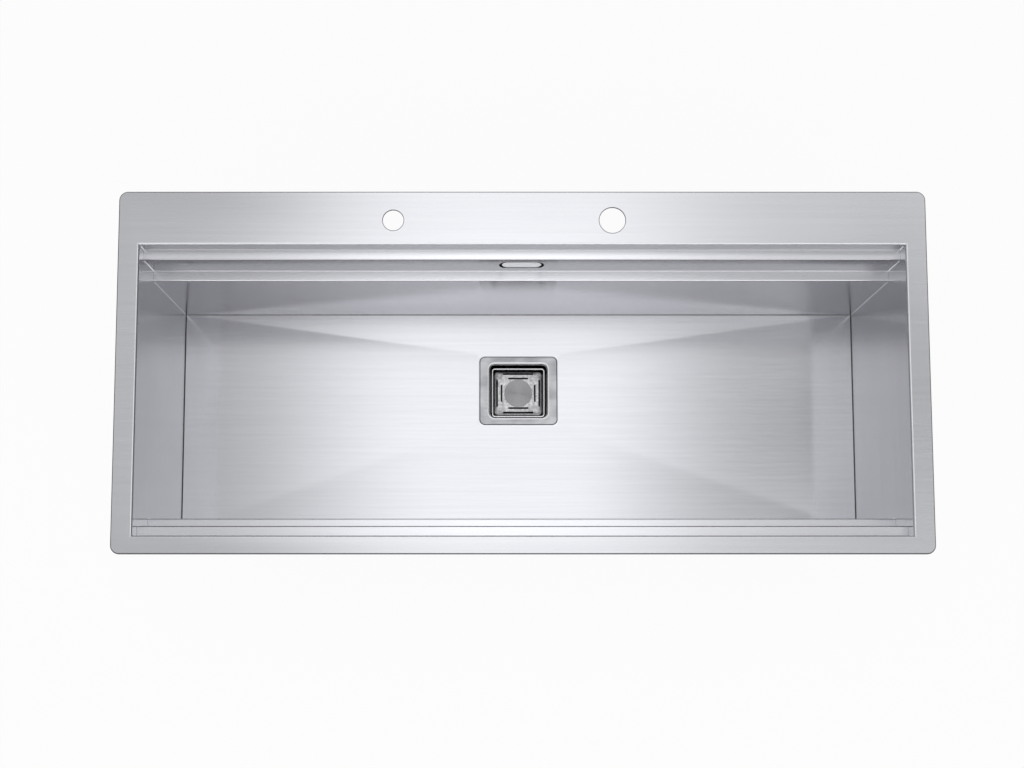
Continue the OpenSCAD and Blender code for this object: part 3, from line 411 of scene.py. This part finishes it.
# %% Blasted, turned, plated and threaded metals
def pitted_metal(name, tint, shade, roughness, grain, bump, cloud=18, thread=None, polished_and_lit_above=None,
                 cut=None):
    """Metal with no grain direction: pits of a size in millimetres and larger clouds of tone.

    cut is the tone painted on upright faces, such as the walls of punched slots: painted shade for the dark
    inside the slots.
    thread is the pitch of a screw thread in millimetres, drawn as a sine wave of height up the Z axis.
    polished_and_lit_above is the height in metres from which the metal is polished and painted near white,
    partly painted highlight.
    """
    material, tree, place = new_material(name)
    pits = grains(tree, place, (grain, grain, grain), detail=3, roughness=0.6)
    clouds = grains(tree, place, (cloud, cloud, cloud), detail=2)
    share = add(tree, "MapRange", [clouds, 0.3, 0.7, 0, 1])
    tone = add(tree, "Mix", {0: share, 6: colour(shade), 7: colour(tint)}, out=2, data_type="RGBA")
    rough = add(tree, "MapRange", [pits, 0.3, 0.7, roughness - 0.05, roughness + 0.05])
    raised = add(tree, "Bump", {"Strength": bump, "Distance": 0.1 * MM, "Height": pits})
    rise = add(tree, "SeparateXYZ", [place], out=2)
    # Painted shade: upright faces turn dark.
    if cut:
        normal_z = add(tree, "SeparateXYZ", [add(tree, "NewGeometry", out="Normal")], out=2)
        level = add(tree, "Math", [normal_z], operation="ABSOLUTE")
        edge = add(tree, "MapRange", [level, 0.3, 0.6, 1.0, 0.0])
        tone = add(tree, "Mix", {0: edge, 6: tone, 7: colour(cut)}, out=2, data_type="RGBA")
    # Painted highlight: above that height the tone turns near white; the lower roughness there is the
    # polish.
    if polished_and_lit_above:
        bright = add(tree, "MapRange", [rise, polished_and_lit_above - 0.4 * MM, polished_and_lit_above, 0.0, 1.0])
        tone = add(tree, "Mix", {0: bright, 6: tone, 7: colour("#F2F2F3")}, out=2, data_type="RGBA")
        rough = add(tree, "MapRange", [bright, 0.0, 1.0, rough, 0.24])
    if thread:
        angle = add(tree, "Math", [rise, 2 * math.pi / (thread * MM)], operation="MULTIPLY")
        turns = add(tree, "Math", [angle], operation="SINE")
        raised = add(tree, "Bump", {"Strength": 0.9, "Distance": thread / 5 * MM, "Height": turns,
                                    "Normal": raised})
    shader = add(tree, "BsdfPrincipled", {
        "Base Color": tone, "Metallic": 1.0, "Roughness": rough, "Normal": raised})
    add(tree, "OutputMaterial", [shader])
    return material


def drawn_cup_metal(name, centre, half_w, half_d, radius):
    """Satin flange with a bright bend into the cup, and the cup's inside below it painted dark, painted
    shade, on one piece.
    """
    material, tree, place = new_material(name)
    distance = outline_distance(tree, place, centre, half_w, half_d, radius)
    outside = add(tree, "MapRange", [distance, -0.4 * MM, 0.4 * MM, 0.0, 1.0])
    height = add(tree, "SeparateXYZ", [place], out=2)
    bend = add(tree, "MapRange", [height, flange_high.z - 7 * MM, flange_high.z - 2.5 * MM, 0.0, 1.0])
    streaks = grains(tree, place, (60, 0.45, 0.45), detail=4, roughness=0.65)
    clouds = grains(tree, place, (30, 22, 22), detail=2)
    both = add(tree, "Math", [streaks, clouds], operation="ADD")
    worn = add(tree, "MapRange", [both, 0.8, 1.2, 0.0, 1.0])
    satin = add(tree, "Mix", {0: worn, 6: colour("#9E9FA3"), 7: colour("#C8C9CC")}, out=2, data_type="RGBA")
    # Painted shade: deeper into the cup the tone turns nearly black.
    cup = add(tree, "Mix", {0: bend, 6: colour("#3E3E41"), 7: colour("#E8E8EA")}, out=2, data_type="RGBA")
    tone = add(tree, "Mix", {0: outside, 6: cup, 7: satin}, out=2, data_type="RGBA")
    rough = add(tree, "MapRange", [outside, 0, 1, 0.15, 0.33])
    raised = add(tree, "Bump", {"Strength": 0.1, "Distance": 0.05 * MM, "Height": streaks})
    shader = add(tree, "BsdfPrincipled", {
        "Base Color": tone, "Metallic": 1.0, "Roughness": rough, "Normal": raised})
    add(tree, "OutputMaterial", [shader])
    return material


def turned_metal(name, tint, shade, centre, ring, roughness):
    """Metal faced on a lathe: rings of a spacing in millimetres round a vertical axis."""
    material, tree, place = new_material(name)
    offset = add(tree, "VectorMath", [place, centre], operation="SUBTRACT")
    flat = add(tree, "VectorMath", [offset, (1, 1, 0)], operation="MULTIPLY")
    radius = add(tree, "VectorMath", [flat], out="Value", operation="LENGTH")
    angle = add(tree, "Math", [radius, 2 * math.pi / (ring * MM)], operation="MULTIPLY")
    wave = add(tree, "Math", [angle], operation="SINE")
    height = add(tree, "Math", [wave, grains(tree, place, (3, 3, 3), detail=2)], operation="ADD")
    share = add(tree, "MapRange", [height, -0.8, 1.8, 0, 1])
    tone = add(tree, "Mix", {0: share, 6: colour(shade), 7: colour(tint)}, out=2, data_type="RGBA")
    raised = add(tree, "Bump", {"Strength": 0.25, "Distance": 0.05 * MM, "Height": height})
    shader = add(tree, "BsdfPrincipled", {
        "Base Color": tone, "Metallic": 1.0, "Roughness": roughness, "Anisotropic": 0.97,
        "Tangent": flat, "Normal": raised})
    add(tree, "OutputMaterial", [shader])
    return material


basket_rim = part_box("basket_cup")[1].z
# The lid's slot walls and upright edges are painted nearly black: painted shade.
blasted = pitted_metal("stainless_bead_blasted", "#D6D6D8", "#A0A0A3", 0.32, 1.2, 0.6, cloud=3.5,
                       cut="#242426")
turned = turned_metal("stainless_turned_disc", "#B6B6B9", "#929295", drain, 1.6, 0.36)
drawn_cup = drawn_cup_metal("stainless_satin_flange_shaded_cup", drain, 47 * MM, 44.5 * MM, 11 * MM)
polished = pitted_metal("stainless_polished", "#DDDDDF", "#D2D2D4", 0.14, 1.5, 0.08)
# The cup's own tone is painted dark, painted shade under the lid, and its top band near white, partly
# painted highlight.
pressed = pitted_metal("stainless_pressed_cup_shaded_and_lit", "#4C4C4E", "#3E3E40", 0.4, 0.9, 0.15,
                       polished_and_lit_above=basket_rim - 2.6 * MM)
zinc = pitted_metal("zinc_plated_steel", "#C9CFD6", "#B4BBC4", 0.3, 0.8, 0.2, cloud=6)
zinc_thread = pitted_metal("zinc_plated_thread", "#C9CFD6", "#B4BBC4", 0.3, 0.8, 0.2, cloud=6, thread=0.8)
brass = pitted_metal("turned_brass", "#D9B46A", "#C49E55", 0.3, 0.6, 0.15, cloud=5)
print("other metals:", [m.name for m in (blasted, turned, polished, pressed, zinc, zinc_thread, brass)])

# %% [markdown]
# ## Plastics, rubber and foam
# The waste body, overflow box and hose are moulded or blown polypropylene: a dull shine
# with the fine grain of the mould. Seals are rubber, darker and more matt. The strip
# under the rim is closed-cell foam, whose cut cells show as small pits.

# %% Plastics, rubber and foam
def moulded_plastic(name, tint, shade, roughness, grain, bump):
    """Moulded plastic with a fine grain of a size in millimetres and slight flow marks."""
    material, tree, place = new_material(name)
    pits = grains(tree, place, (grain, grain, grain), detail=3, roughness=0.6)
    flow = grains(tree, place, (30, 30, 12), detail=2)
    share = add(tree, "MapRange", [flow, 0.3, 0.7, 0, 1])
    tone = add(tree, "Mix", {0: share, 6: colour(shade), 7: colour(tint)}, out=2, data_type="RGBA")
    rough = add(tree, "MapRange", [flow, 0.3, 0.7, roughness - 0.05, roughness + 0.05])
    raised = add(tree, "Bump", {"Strength": bump, "Distance": 0.1 * MM, "Height": pits})
    shader = add(tree, "BsdfPrincipled", {
        "Base Color": tone, "Roughness": rough, "IOR": 1.49, "Normal": raised})
    add(tree, "OutputMaterial", [shader])
    return material


def celled_foam(name, tint, shade, cell):
    """Closed-cell foam: cut cells of a size in millimetres, deep in the middle and raised at their walls."""
    material, tree, place = new_material(name)
    cells = add(tree, "TexVoronoi", {"Vector": place, "Scale": 1 / (cell * MM)}, out="Distance")
    # Painted shade: each cell is darker in its deep middle than at its walls.
    share = add(tree, "MapRange", [cells, 0.1, 0.7, 0, 1])
    tone = add(tree, "Mix", {0: share, 6: colour(shade), 7: colour(tint)}, out=2, data_type="RGBA")
    raised = add(tree, "Bump", {"Strength": 0.8, "Distance": 0.3 * MM, "Height": cells})
    shader = add(tree, "BsdfPrincipled", {
        "Base Color": tone, "Roughness": 0.9, "IOR": 1.45, "Normal": raised})
    add(tree, "OutputMaterial", [shader])
    return material


body_plastic = moulded_plastic("polypropylene_black_moulded", "#2C2D2F", "#222325", 0.42, 0.35, 0.35)
box_plastic = moulded_plastic("polypropylene_grey_moulded", "#8E9194", "#7F8285", 0.4, 0.35, 0.3)
hose_plastic = moulded_plastic("polypropylene_grey_blown", "#C2C4C6", "#ABAEB1", 0.34, 0.8, 0.15)
seal_rubber = moulded_plastic("rubber_black_seal", "#1D1D1E", "#141415", 0.62, 0.5, 0.4)
pad_rubber = moulded_plastic("rubber_sheet_pad", "#323335", "#252628", 0.8, 0.7, 0.8)
foam = celled_foam("foam_closed_cell_strip", "#3B3C3E", "#1F2021", 0.9)
plastics = (body_plastic, box_plastic, hose_plastic, seal_rubber, pad_rubber, foam)
print("plastics:", [m.name for m in plastics])

# %% [markdown]
# ## Finish of the frame's pieces
# A CAD piece comes as loose triangles with knife edges. Welding its corners, dissolving
# the flat triangles to whole faces and adding a narrow bevel gives every edge the small
# round that folded or stamped metal has, and that round catches the light. Modifiers do
# this without touching the mesh itself.

# %% Finish of the frame's pieces
def finish_piece(name, material, edge):
    """Gives a CAD piece its material, smooth shading and edges rounded by a width in millimetres."""
    piece = nodes[name]
    mesh = piece.data
    mesh.materials.clear()
    mesh.materials.append(material)
    for spare in ("custom_normal", "sharp_face", "sharp_edge"):
        if spare in mesh.attributes:
            mesh.attributes.remove(mesh.attributes[spare])
    mesh.polygons.foreach_set("material_index", np.zeros(len(mesh.polygons), dtype=np.int32))
    mesh.polygons.foreach_set("use_smooth", np.ones(len(mesh.polygons), dtype=bool))
    weld = piece.modifiers.new("weld_corners", "WELD")
    weld.merge_threshold = 0.002 * MM
    flat = piece.modifiers.new("whole_faces", "DECIMATE")
    flat.decimate_type = "DISSOLVE"
    flat.angle_limit = math.radians(0.4)
    bevel = piece.modifiers.new("rounded_edges", "BEVEL")
    bevel.width = edge * MM
    bevel.segments = 2
    bevel.limit_method = "ANGLE"
    bevel.angle_limit = math.radians(28)
    bevel.harden_normals = True


finishes = {
    "deck": (steel_rim, 0.25), "rear_wall": (steel_wall, 0.2), "front_wall": (steel_wall, 0.2),
    "left_wall": (steel_side_shaded, 0.2), "right_wall": (steel_side_shaded, 0.2), "tap_stiffener": (steel_mill, 0.4),
    "earth_tag": (steel_mill, 0.3), "clip_brackets": (zinc, 0.3), "drain_flange": (drawn_cup, 0.25),
    "drain_top_seal": (seal_rubber, 0.2), "drain_bottom_seal": (seal_rubber, 0.4),
    "drain_body": (body_plastic, 0.6), "screw_insert": (brass, 0.2), "drain_screw": (polished, 0.3),
    "overflow_plate": (steel_plate, 0.45), "overflow_seal": (seal_rubber, 0.3),
    "overflow_box": (box_plastic, 0.6), "overflow_studs": (zinc, 0.2), "overflow_nuts": (zinc, 0.25),
    "hose_clip_top": (zinc, 0.2), "hose_clip_bottom": (zinc, 0.2), "basket_cup": (pressed, 0.15),
    "basket_lid": (blasted, 0.25), "lid_disc": (turned, 0.3), "basket_stem": (box_plastic, 0.4),
    "basket_seal": (seal_rubber, 0.5)}
for pad in ("floor_pad_left", "floor_pad_right", "side_pad_left", "side_pad_right"):
    finishes[pad] = (pad_rubber, 0.7)
for i in range(1, 9):
    finishes[f"clip_screw_{i}"] = (zinc_thread, 0.25)
    finishes[f"clip_claw_{i}"] = (zinc, 0.35)
for name, (material, edge) in finishes.items():
    finish_piece(name, material, edge)
print(len(finishes), "pieces finished")

# %% [markdown]
# ## Surfaces from grids
# Every new piece is a grid of points that a formula gives, closed on itself both ways like
# a ring doughnut. A sheet with a hole is such a ring: out along its top, down its rim,
# back along its underside, and up inside the hole.

# %% Grid to mesh
def ring_piece(name, points, body, slot, material, *replaced):
    """A closed surface from points (rows, columns, 3): last row and column meet the first."""
    rows, columns = points.shape[:2]
    index = np.arange(rows * columns).reshape(rows, columns)
    right, up = np.roll(index, -1, axis=1), np.roll(index, -1, axis=0)
    faces = np.stack([index, right, np.roll(right, -1, axis=0), up], axis=-1).reshape(-1, 4)
    mesh = bpy.data.meshes.new(name)
    mesh.from_pydata(points.reshape(-1, 3).tolist(), [], faces.tolist())
    mesh.polygons.foreach_set("use_smooth", np.ones(len(faces), dtype=bool))
    mesh.materials.append(material)
    mesh.update()
    piece = bpy.data.objects.new(name, mesh)
    bpy.context.scene.collection.objects.link(piece)
    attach(piece, body)
    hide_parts(*replaced)
    print(name, "has", len(faces), "faces")


def turned_sides(side_x, side_y):
    """Puts one side's points on four sides of a rectangle, each turned a quarter from the last."""
    (ax, ay), (bx, by) = side_x, side_y
    return np.concatenate([np.stack([ax, ay], axis=1), np.stack([-by, bx], axis=1),
                           np.stack([-ax, -ay], axis=1), np.stack([by, -bx], axis=1)])


def rounded_outline(half_w, half_d, radius, count):
    """Points anticlockwise round a rectangle with rounded corners, from the middle of a corner.

    On each side the angle runs from 45 to 90 degrees round one corner, the centre then slides
    along the side, and the angle runs on to 135 degrees round the next corner.
    """
    t = np.arange(count // 4) / (count // 4)
    angle = np.radians(45 + 45 * np.clip(t / 0.15, 0, 1) + 45 * np.clip((t - 0.85) / 0.15, 0, 1))
    slide = 1 - 2 * np.clip((t - 0.15) / 0.7, 0, 1)
    sides = [((a - radius) * slide + radius * np.cos(angle), b - radius + radius * np.sin(angle))
             for a, b in ((half_w, half_d), (half_d, half_w))]
    return turned_sides(*sides)


def square_outline(half_w, half_d, count):
    """Points round a plain rectangle, from a corner, set closer near the corners by a sine."""
    t = np.arange(count // 4) / (count // 4)
    slide = 1 - 2 * (t - 0.9 * np.sin(2 * np.pi * t) / (2 * np.pi))
    return turned_sides((half_w * slide, np.full(len(t), half_d)), (half_d * slide, np.full(len(t), half_w)))


print("grid helpers ready")

# %% [markdown]
# ## Bowl floor
# The floor is one sheet, folded very slightly along four creases that run from the bowl's
# corners to the drain, and pressed down round the waste's flange. Its height is the highest
# of four planes that fall from the walls to the drain's panel. Where two planes meet, a
# sharp maximum would leave a knife edge, so a smooth maximum rounds the crease by about
# the radius that a folding tool leaves.

# %% Bowl floor
SOFT = 0.16 * MM


def smooth_max(a, b):
    """Half of a + b + sqrt((a - b)**2 + SOFT**2): the larger value, rounded where the two are close."""
    return (a + b + np.sqrt((a - b) ** 2 + SOFT ** 2)) / 2


def floor_height(x, y):
    """Highest of the four slopes at a place, each falling evenly from a wall to the panel's edge."""
    fall = FLOOR_Z - PANEL_Z
    shares = [(x - bowl_low.x) / (recess_low.x - bowl_low.x),
              (bowl_high.x - x) / (bowl_high.x - recess_high.x),
              (y - bowl_low.y) / (recess_low.y - bowl_low.y),
              (bowl_high.y - y) / (bowl_high.y - recess_high.y)]
    planes = [FLOOR_Z - fall * share for share in shares]
    slope = smooth_max(smooth_max(planes[0], planes[1]), smooth_max(planes[2], planes[3]))
    return np.clip(slope, PANEL_Z, FLOOR_Z)


def level_row(outline, centre, z):
    """An outline round a centre, all at one height."""
    return np.column_stack([outline + np.array(centre[:2]), np.full(len(outline), z)])


AROUND, ALONG = 640, 48
FLANGE_ROOM = 0.8 * MM
recess_centre = (recess_low + recess_high) / 2
bowl_centre = (bowl_low + bowl_high) / 2
panel_half = (recess_high - recess_low) / 2
bowl_half = (bowl_high - bowl_low) / 2
recess_half_w = flange_high.x - drain.x + FLANGE_ROOM
recess_half_d = flange_high.y - drain.y + FLANGE_ROOM
RECESS_R, HOLE_R, BEND = 8.3 * MM, 10.5 * MM, 0.7 * MM
hole_half_w, hole_half_d = 46.5 * MM, 44 * MM
recess_z = recess_low.z + SHEET


def recess_row(out, z):
    """The recess's outline, moved outward by a distance, at a height."""
    outline = rounded_outline(recess_half_w + out, recess_half_d + out, RECESS_R + out, AROUND)
    return level_row(outline, recess_centre, z)


hole = rounded_outline(hole_half_w, hole_half_d, HOLE_R, AROUND)
panel = square_outline(panel_half.x, panel_half.y, AROUND) + np.array(recess_centre[:2])
edge = square_outline(bowl_half.x, bowl_half.y, AROUND) + np.array(bowl_centre[:2])
under_walls = square_outline(bowl_half.x + SHEET, bowl_half.y + SHEET, AROUND) + np.array(bowl_centre[:2])
bend_angles = np.radians([0, 30, 60, 90])
top = [level_row(hole, recess_centre, recess_z)]
top += [recess_row(-BEND * (1 - math.sin(a)), recess_z + BEND * (1 - math.cos(a))) for a in bend_angles]
top += [recess_row(BEND * (1 - math.cos(a)), PANEL_Z - BEND * (1 - math.sin(a))) for a in bend_angles]
slope_start = len(top)
for share in np.linspace(0, 1, ALONG) ** 1.4:
    place = panel + (edge - panel) * share
    top.append(np.column_stack([place, floor_height(place[:, 0], place[:, 1])]))
top.append(np.column_stack([under_walls, np.full(AROUND, FLOOR_Z)]))
bottom = [np.column_stack([row[:, :2], row[:, 2] - SHEET]) for row in top[slope_start:][::-1]]
bottom += [recess_row(SHEET, PANEL_Z - SHEET), recess_row(SHEET, recess_low.z + BEND),
           recess_row(SHEET - BEND, recess_low.z), level_row(hole, recess_centre, recess_low.z)]
floor_points = np.stack(top + bottom)
ring_piece("bowl_floor", floor_points[::-1], "sink", "brushed_steel_floor", steel_floor,
           "floor_front", "floor_right", "floor_rear", "floor_left", "drain_recess")

# %% [markdown]
# ## Seams in the bowl's corners
# The walls and the floor are separate sheets, welded at the corners. The upright welds are
# ground bright, and each ends below the rounded nose of its ledge. The hollows at the
# floor's two ends keep the dark grey of the weld, and the long ones are rubbed half clean,
# so they show as fine lines. Each seam is a straight strip with the same three-sided
# section: two flat sides that lie on the sheets and a hollow arc between them. All strips
# are worked out together, as one array of sections.

# %% Corner seams
SEAM_R, SUNK, SEAM_STEPS = 1.3 * MM, 0.05 * MM, 6


def seam_section(radius):
    """Points of the section, as lengths along its two sides: the corner, then an arc.

    The arc's centre is at (radius, radius).
    """
    angle = np.radians(np.linspace(270, 180, SEAM_STEPS + 1))
    arc = radius * (1 + np.stack([np.cos(angle), np.sin(angle)], axis=1))
    return np.vstack([[-SUNK, -SUNK], [radius, -SUNK], arc[1:-1], [-SUNK, radius]])


def seam_strips(seams):
    """Closed strips from (start, end, side, other side) rows, as points, faces and each face's kind.

    A point is the strip's end + side * u + other side * v. A strip whose sides turn the other
    way round its direction changes ends, so all faces point outward. The kind is 0 on a strip
    that runs up, 1 on one from front to back and 2 on one from left to right.
    """
    section = seam_section(SEAM_R)
    k, n = len(section), len(seams)
    ends, sides = np.array([row[:2] for row in seams]), np.array([row[2:] for row in seams])
    along = ends[:, 1] - ends[:, 0]
    backward = np.einsum("nd,nd->n", np.cross(sides[:, 0], sides[:, 1]), along) < 0
    ends[backward] = ends[backward][:, ::-1]
    offsets = np.einsum("kc,ncd->nkd", section, sides)
    points = ends[:, :, None, :] + offsets[:, None, :, :]
    here, first = np.arange(k), 2 * k * np.arange(n)[:, None]
    there = np.roll(here, -1)
    long_faces = np.stack([here, there, there + k, here + k], axis=1)
    faces = (first[:, :, None] + long_faces).reshape(-1, 4).tolist()
    caps = (first + here[::-1]).tolist() + (first + here + k).tolist()
    kind = (2 - np.abs(along).argmax(axis=1)).astype(np.int32)
    return points.reshape(-1, 3), faces + caps, np.concatenate([np.repeat(kind, k), kind, kind])


LEDGE_1, LEDGE_2, MOUTH = -15 * MM, -54 * MM, -3.5 * MM
STEP, NOSE = 14.5 * MM, 2.3 * MM
x_out = bowl_high.x
y_back, y_front = bowl_high.y, bowl_low.y
seams = []
for s in (-1, 1):
    inward = (-s, 0, 0)
    for y, sign in ((y_back, 1), (y_front, -1)):
        forward = (0, -sign, 0)
        for steps, z_low, z_high in ((0, FLOOR_Z, LEDGE_2 - NOSE), (1, LEDGE_2, LEDGE_1 - NOSE),
                                     (2, LEDGE_1, MOUTH)):
            y_seam = y + sign * steps * STEP
            seams.append(((s * x_out, y_seam, z_low), (s * x_out, y_seam, z_high), inward, forward))
    seams.append(((s * x_out, y_front, FLOOR_Z), (s * x_out, y_back, FLOOR_Z), inward, (0, 0, 1)))
for y, sign in ((y_back, 1), (y_front, -1)):
    seams.append(((-x_out, y, FLOOR_Z), (x_out, y, FLOOR_Z), (0, -sign, 0), (0, 0, 1)))
seam_points, seam_faces, seam_kind = seam_strips(seams)
seam_mesh = bpy.data.meshes.new("corner_seams")
seam_mesh.from_pydata(seam_points.tolist(), [], seam_faces)
for steel in (steel_weld, steel_joint, steel_hollow):
    seam_mesh.materials.append(steel)
seam_mesh.polygons.foreach_set("material_index", seam_kind)
corner_seams = bpy.data.objects.new("corner_seams", seam_mesh)
bpy.context.scene.collection.objects.link(corner_seams)
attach(corner_seams, "sink")
print("corner_seams has", len(seams), "strips and", len(seam_faces), "faces")

# %% [markdown]
# ## Overflow hose
# The hose is blown plastic with a rib every four millimetres, so it bends without closing,
# and a smooth cuff at each end for its band. It is a tube along a route: straight down, a
# quarter turn, and forward to the waste. The radius along the route is a raised cosine.

# %% Overflow hose
hose_low, hose_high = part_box("overflow_hose")
HOSE_R, VALLEY_R, BORE_R = 12 * MM, 10.9 * MM, 9 * MM
HOSE_BEND, CUFF, RIB, HOSE_SIDES = 60 * MM, 24 * MM, 4 * MM, 48
hose_y, port_z = hose_high.y - HOSE_R, hose_low.z + HOSE_R
down = hose_high.z - (port_z + HOSE_BEND)
turn = math.pi / 2 * HOSE_BEND
hose_length = down + turn + (hose_y - HOSE_BEND - hose_low.y)


def hose_route(s):
    """Place in Y and Z and tilt from straight down, at distances s from the hose's top."""
    angle = np.clip((s - down) / HOSE_BEND, 0, math.pi / 2)
    ahead = np.clip(s - down - turn, 0, None)
    y = hose_y - HOSE_BEND * (1 - np.cos(angle)) - ahead
    z = hose_high.z - np.clip(s, 0, down) - HOSE_BEND * np.sin(angle)
    return y, z, angle


def tube_rows(s, radius, sides):
    """Rings of points square to the route at distances s, with a radius for each."""
    y, z, angle = (v[:, None] for v in hose_route(s))
    a = np.linspace(0, 2 * np.pi, sides, endpoint=False)[None, :]
    r = radius[:, None]
    x, ahead = r * np.cos(a), r * np.sin(a)
    return np.stack([x, y + ahead * np.cos(angle), z - ahead * np.sin(angle)], axis=-1)


ribbed = hose_length - 2 * CUFF
rib_count = round(ribbed / RIB)
rib_s = np.linspace(CUFF, CUFF + ribbed, rib_count * 10 + 1)
outer_s = np.concatenate([[0, CUFF - RIB], rib_s, [hose_length - CUFF + RIB, hose_length]])
phase = np.clip((outer_s - CUFF) / ribbed, 0, 1) * rib_count * 2 * np.pi
wave = (1 - np.cos(phase)) / 2
on_ribs = (outer_s >= CUFF) & (outer_s <= CUFF + ribbed)
outer_r = np.where(on_ribs, VALLEY_R + (HOSE_R - VALLEY_R) * wave ** 0.7, HOSE_R)
inner_s = np.linspace(hose_length, 0, 120)
inner_r = np.full(len(inner_s), BORE_R)
hose_points = np.concatenate([tube_rows(outer_s, outer_r, HOSE_SIDES),
                              tube_rows(inner_s, inner_r, HOSE_SIDES)])
ring_piece("ribbed_hose", hose_points, "sink", "hose_plastic", hose_plastic, "overflow_hose")

# %% [markdown]
# ## Outlet thread
# The trap's nut screws onto the outlet, which has a pipe thread of eleven turns to the
# inch. A thread is a wave that climbs by one pitch in each turn. Its radius depends only
# on the height in pitches less the angle in turns, so the surface meets itself after
# every turn and needs no seam. The sleeve sits on the outlet's plain pipe, and its ends
# fade into it.

# %% Outlet thread
outlet = next(mount for mount in frame["record"]["mounts"] if mount["name"] == "waste_outlet")
OUTLET_R, OUTLET_L = outlet["dims"]["r_mm"] * MM, outlet["dims"]["length_mm"] * MM
PITCH, RIDGE, ROOT, RUN_OUT = 25.4 / 11 * MM, 0.45 * MM, 0.6 * MM, 2 * MM


def thread_rows(z, sides):
    """Rings of points at heights z, where the radius is a raised cosine of z / PITCH less the turn."""
    turn = np.linspace(0, 1, sides, endpoint=False)
    wave = (1 + np.cos(2 * np.pi * (z[:, None] / PITCH - turn))) / 2
    fade = np.clip(np.minimum(z - z[0], z[-1] - z) / RUN_OUT, 0, 1)[:, None]
    r = OUTLET_R - ROOT + (ROOT + RIDGE) * fade * wave
    angle = 2 * np.pi * turn
    return np.stack([drain.x + r * np.cos(angle), drain.y + r * np.sin(angle), z[:, None] + 0 * r], axis=-1)


outlet_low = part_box("drain_body")[0].z
thread_z = np.linspace(outlet_low + 1 * MM, outlet_low + OUTLET_L - 2 * MM, 180)
outer_rows = thread_rows(thread_z, 144)
inner_rows = outer_rows[[-1, 0]].copy()
inner_rows[:, :, :2] = drain[:2] + (inner_rows[:, :, :2] - drain[:2]) * (1 - ROOT / OUTLET_R)
ring_piece("outlet_thread", np.concatenate([outer_rows, inner_rows]), "sink", "black_plastic", body_plastic)

# %% [markdown]
# ## Foam strip
# The strip under the rim's edge bulges a little between the rim and the worktop. It is a
# small rounded profile carried round the rim's outline.

# %% Foam strip
gasket_low, gasket_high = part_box("edge_gasket")
gasket_half = (gasket_high - gasket_low) / 2
gasket_centre = (gasket_high + gasket_low) / 2
STRIP_W, STRIP_R, SQUARENESS = 7 * MM, 10 * MM, 0.35
around_strip = np.linspace(0, 2 * np.pi, 28, endpoint=False)


def rounded_power(value, power):
    """Sign of a value times its size to a power, which squares off a circle's sine and cosine."""
    return np.sign(value) * np.abs(value) ** power


inset = STRIP_W / 2 * (1 - rounded_power(np.cos(around_strip), SQUARENESS))
rise = gasket_half.z * rounded_power(np.sin(around_strip), SQUARENESS)
strip_rows = []
for i, z in zip(inset, rise):
    outline = rounded_outline(gasket_half.x - i, gasket_half.y - i, STRIP_R - i, 480)
    strip_rows.append(level_row(outline, gasket_centre, gasket_centre.z + z))
ring_piece("foam_strip", np.stack(strip_rows), "sink", "seal_foam", foam, "edge_gasket")
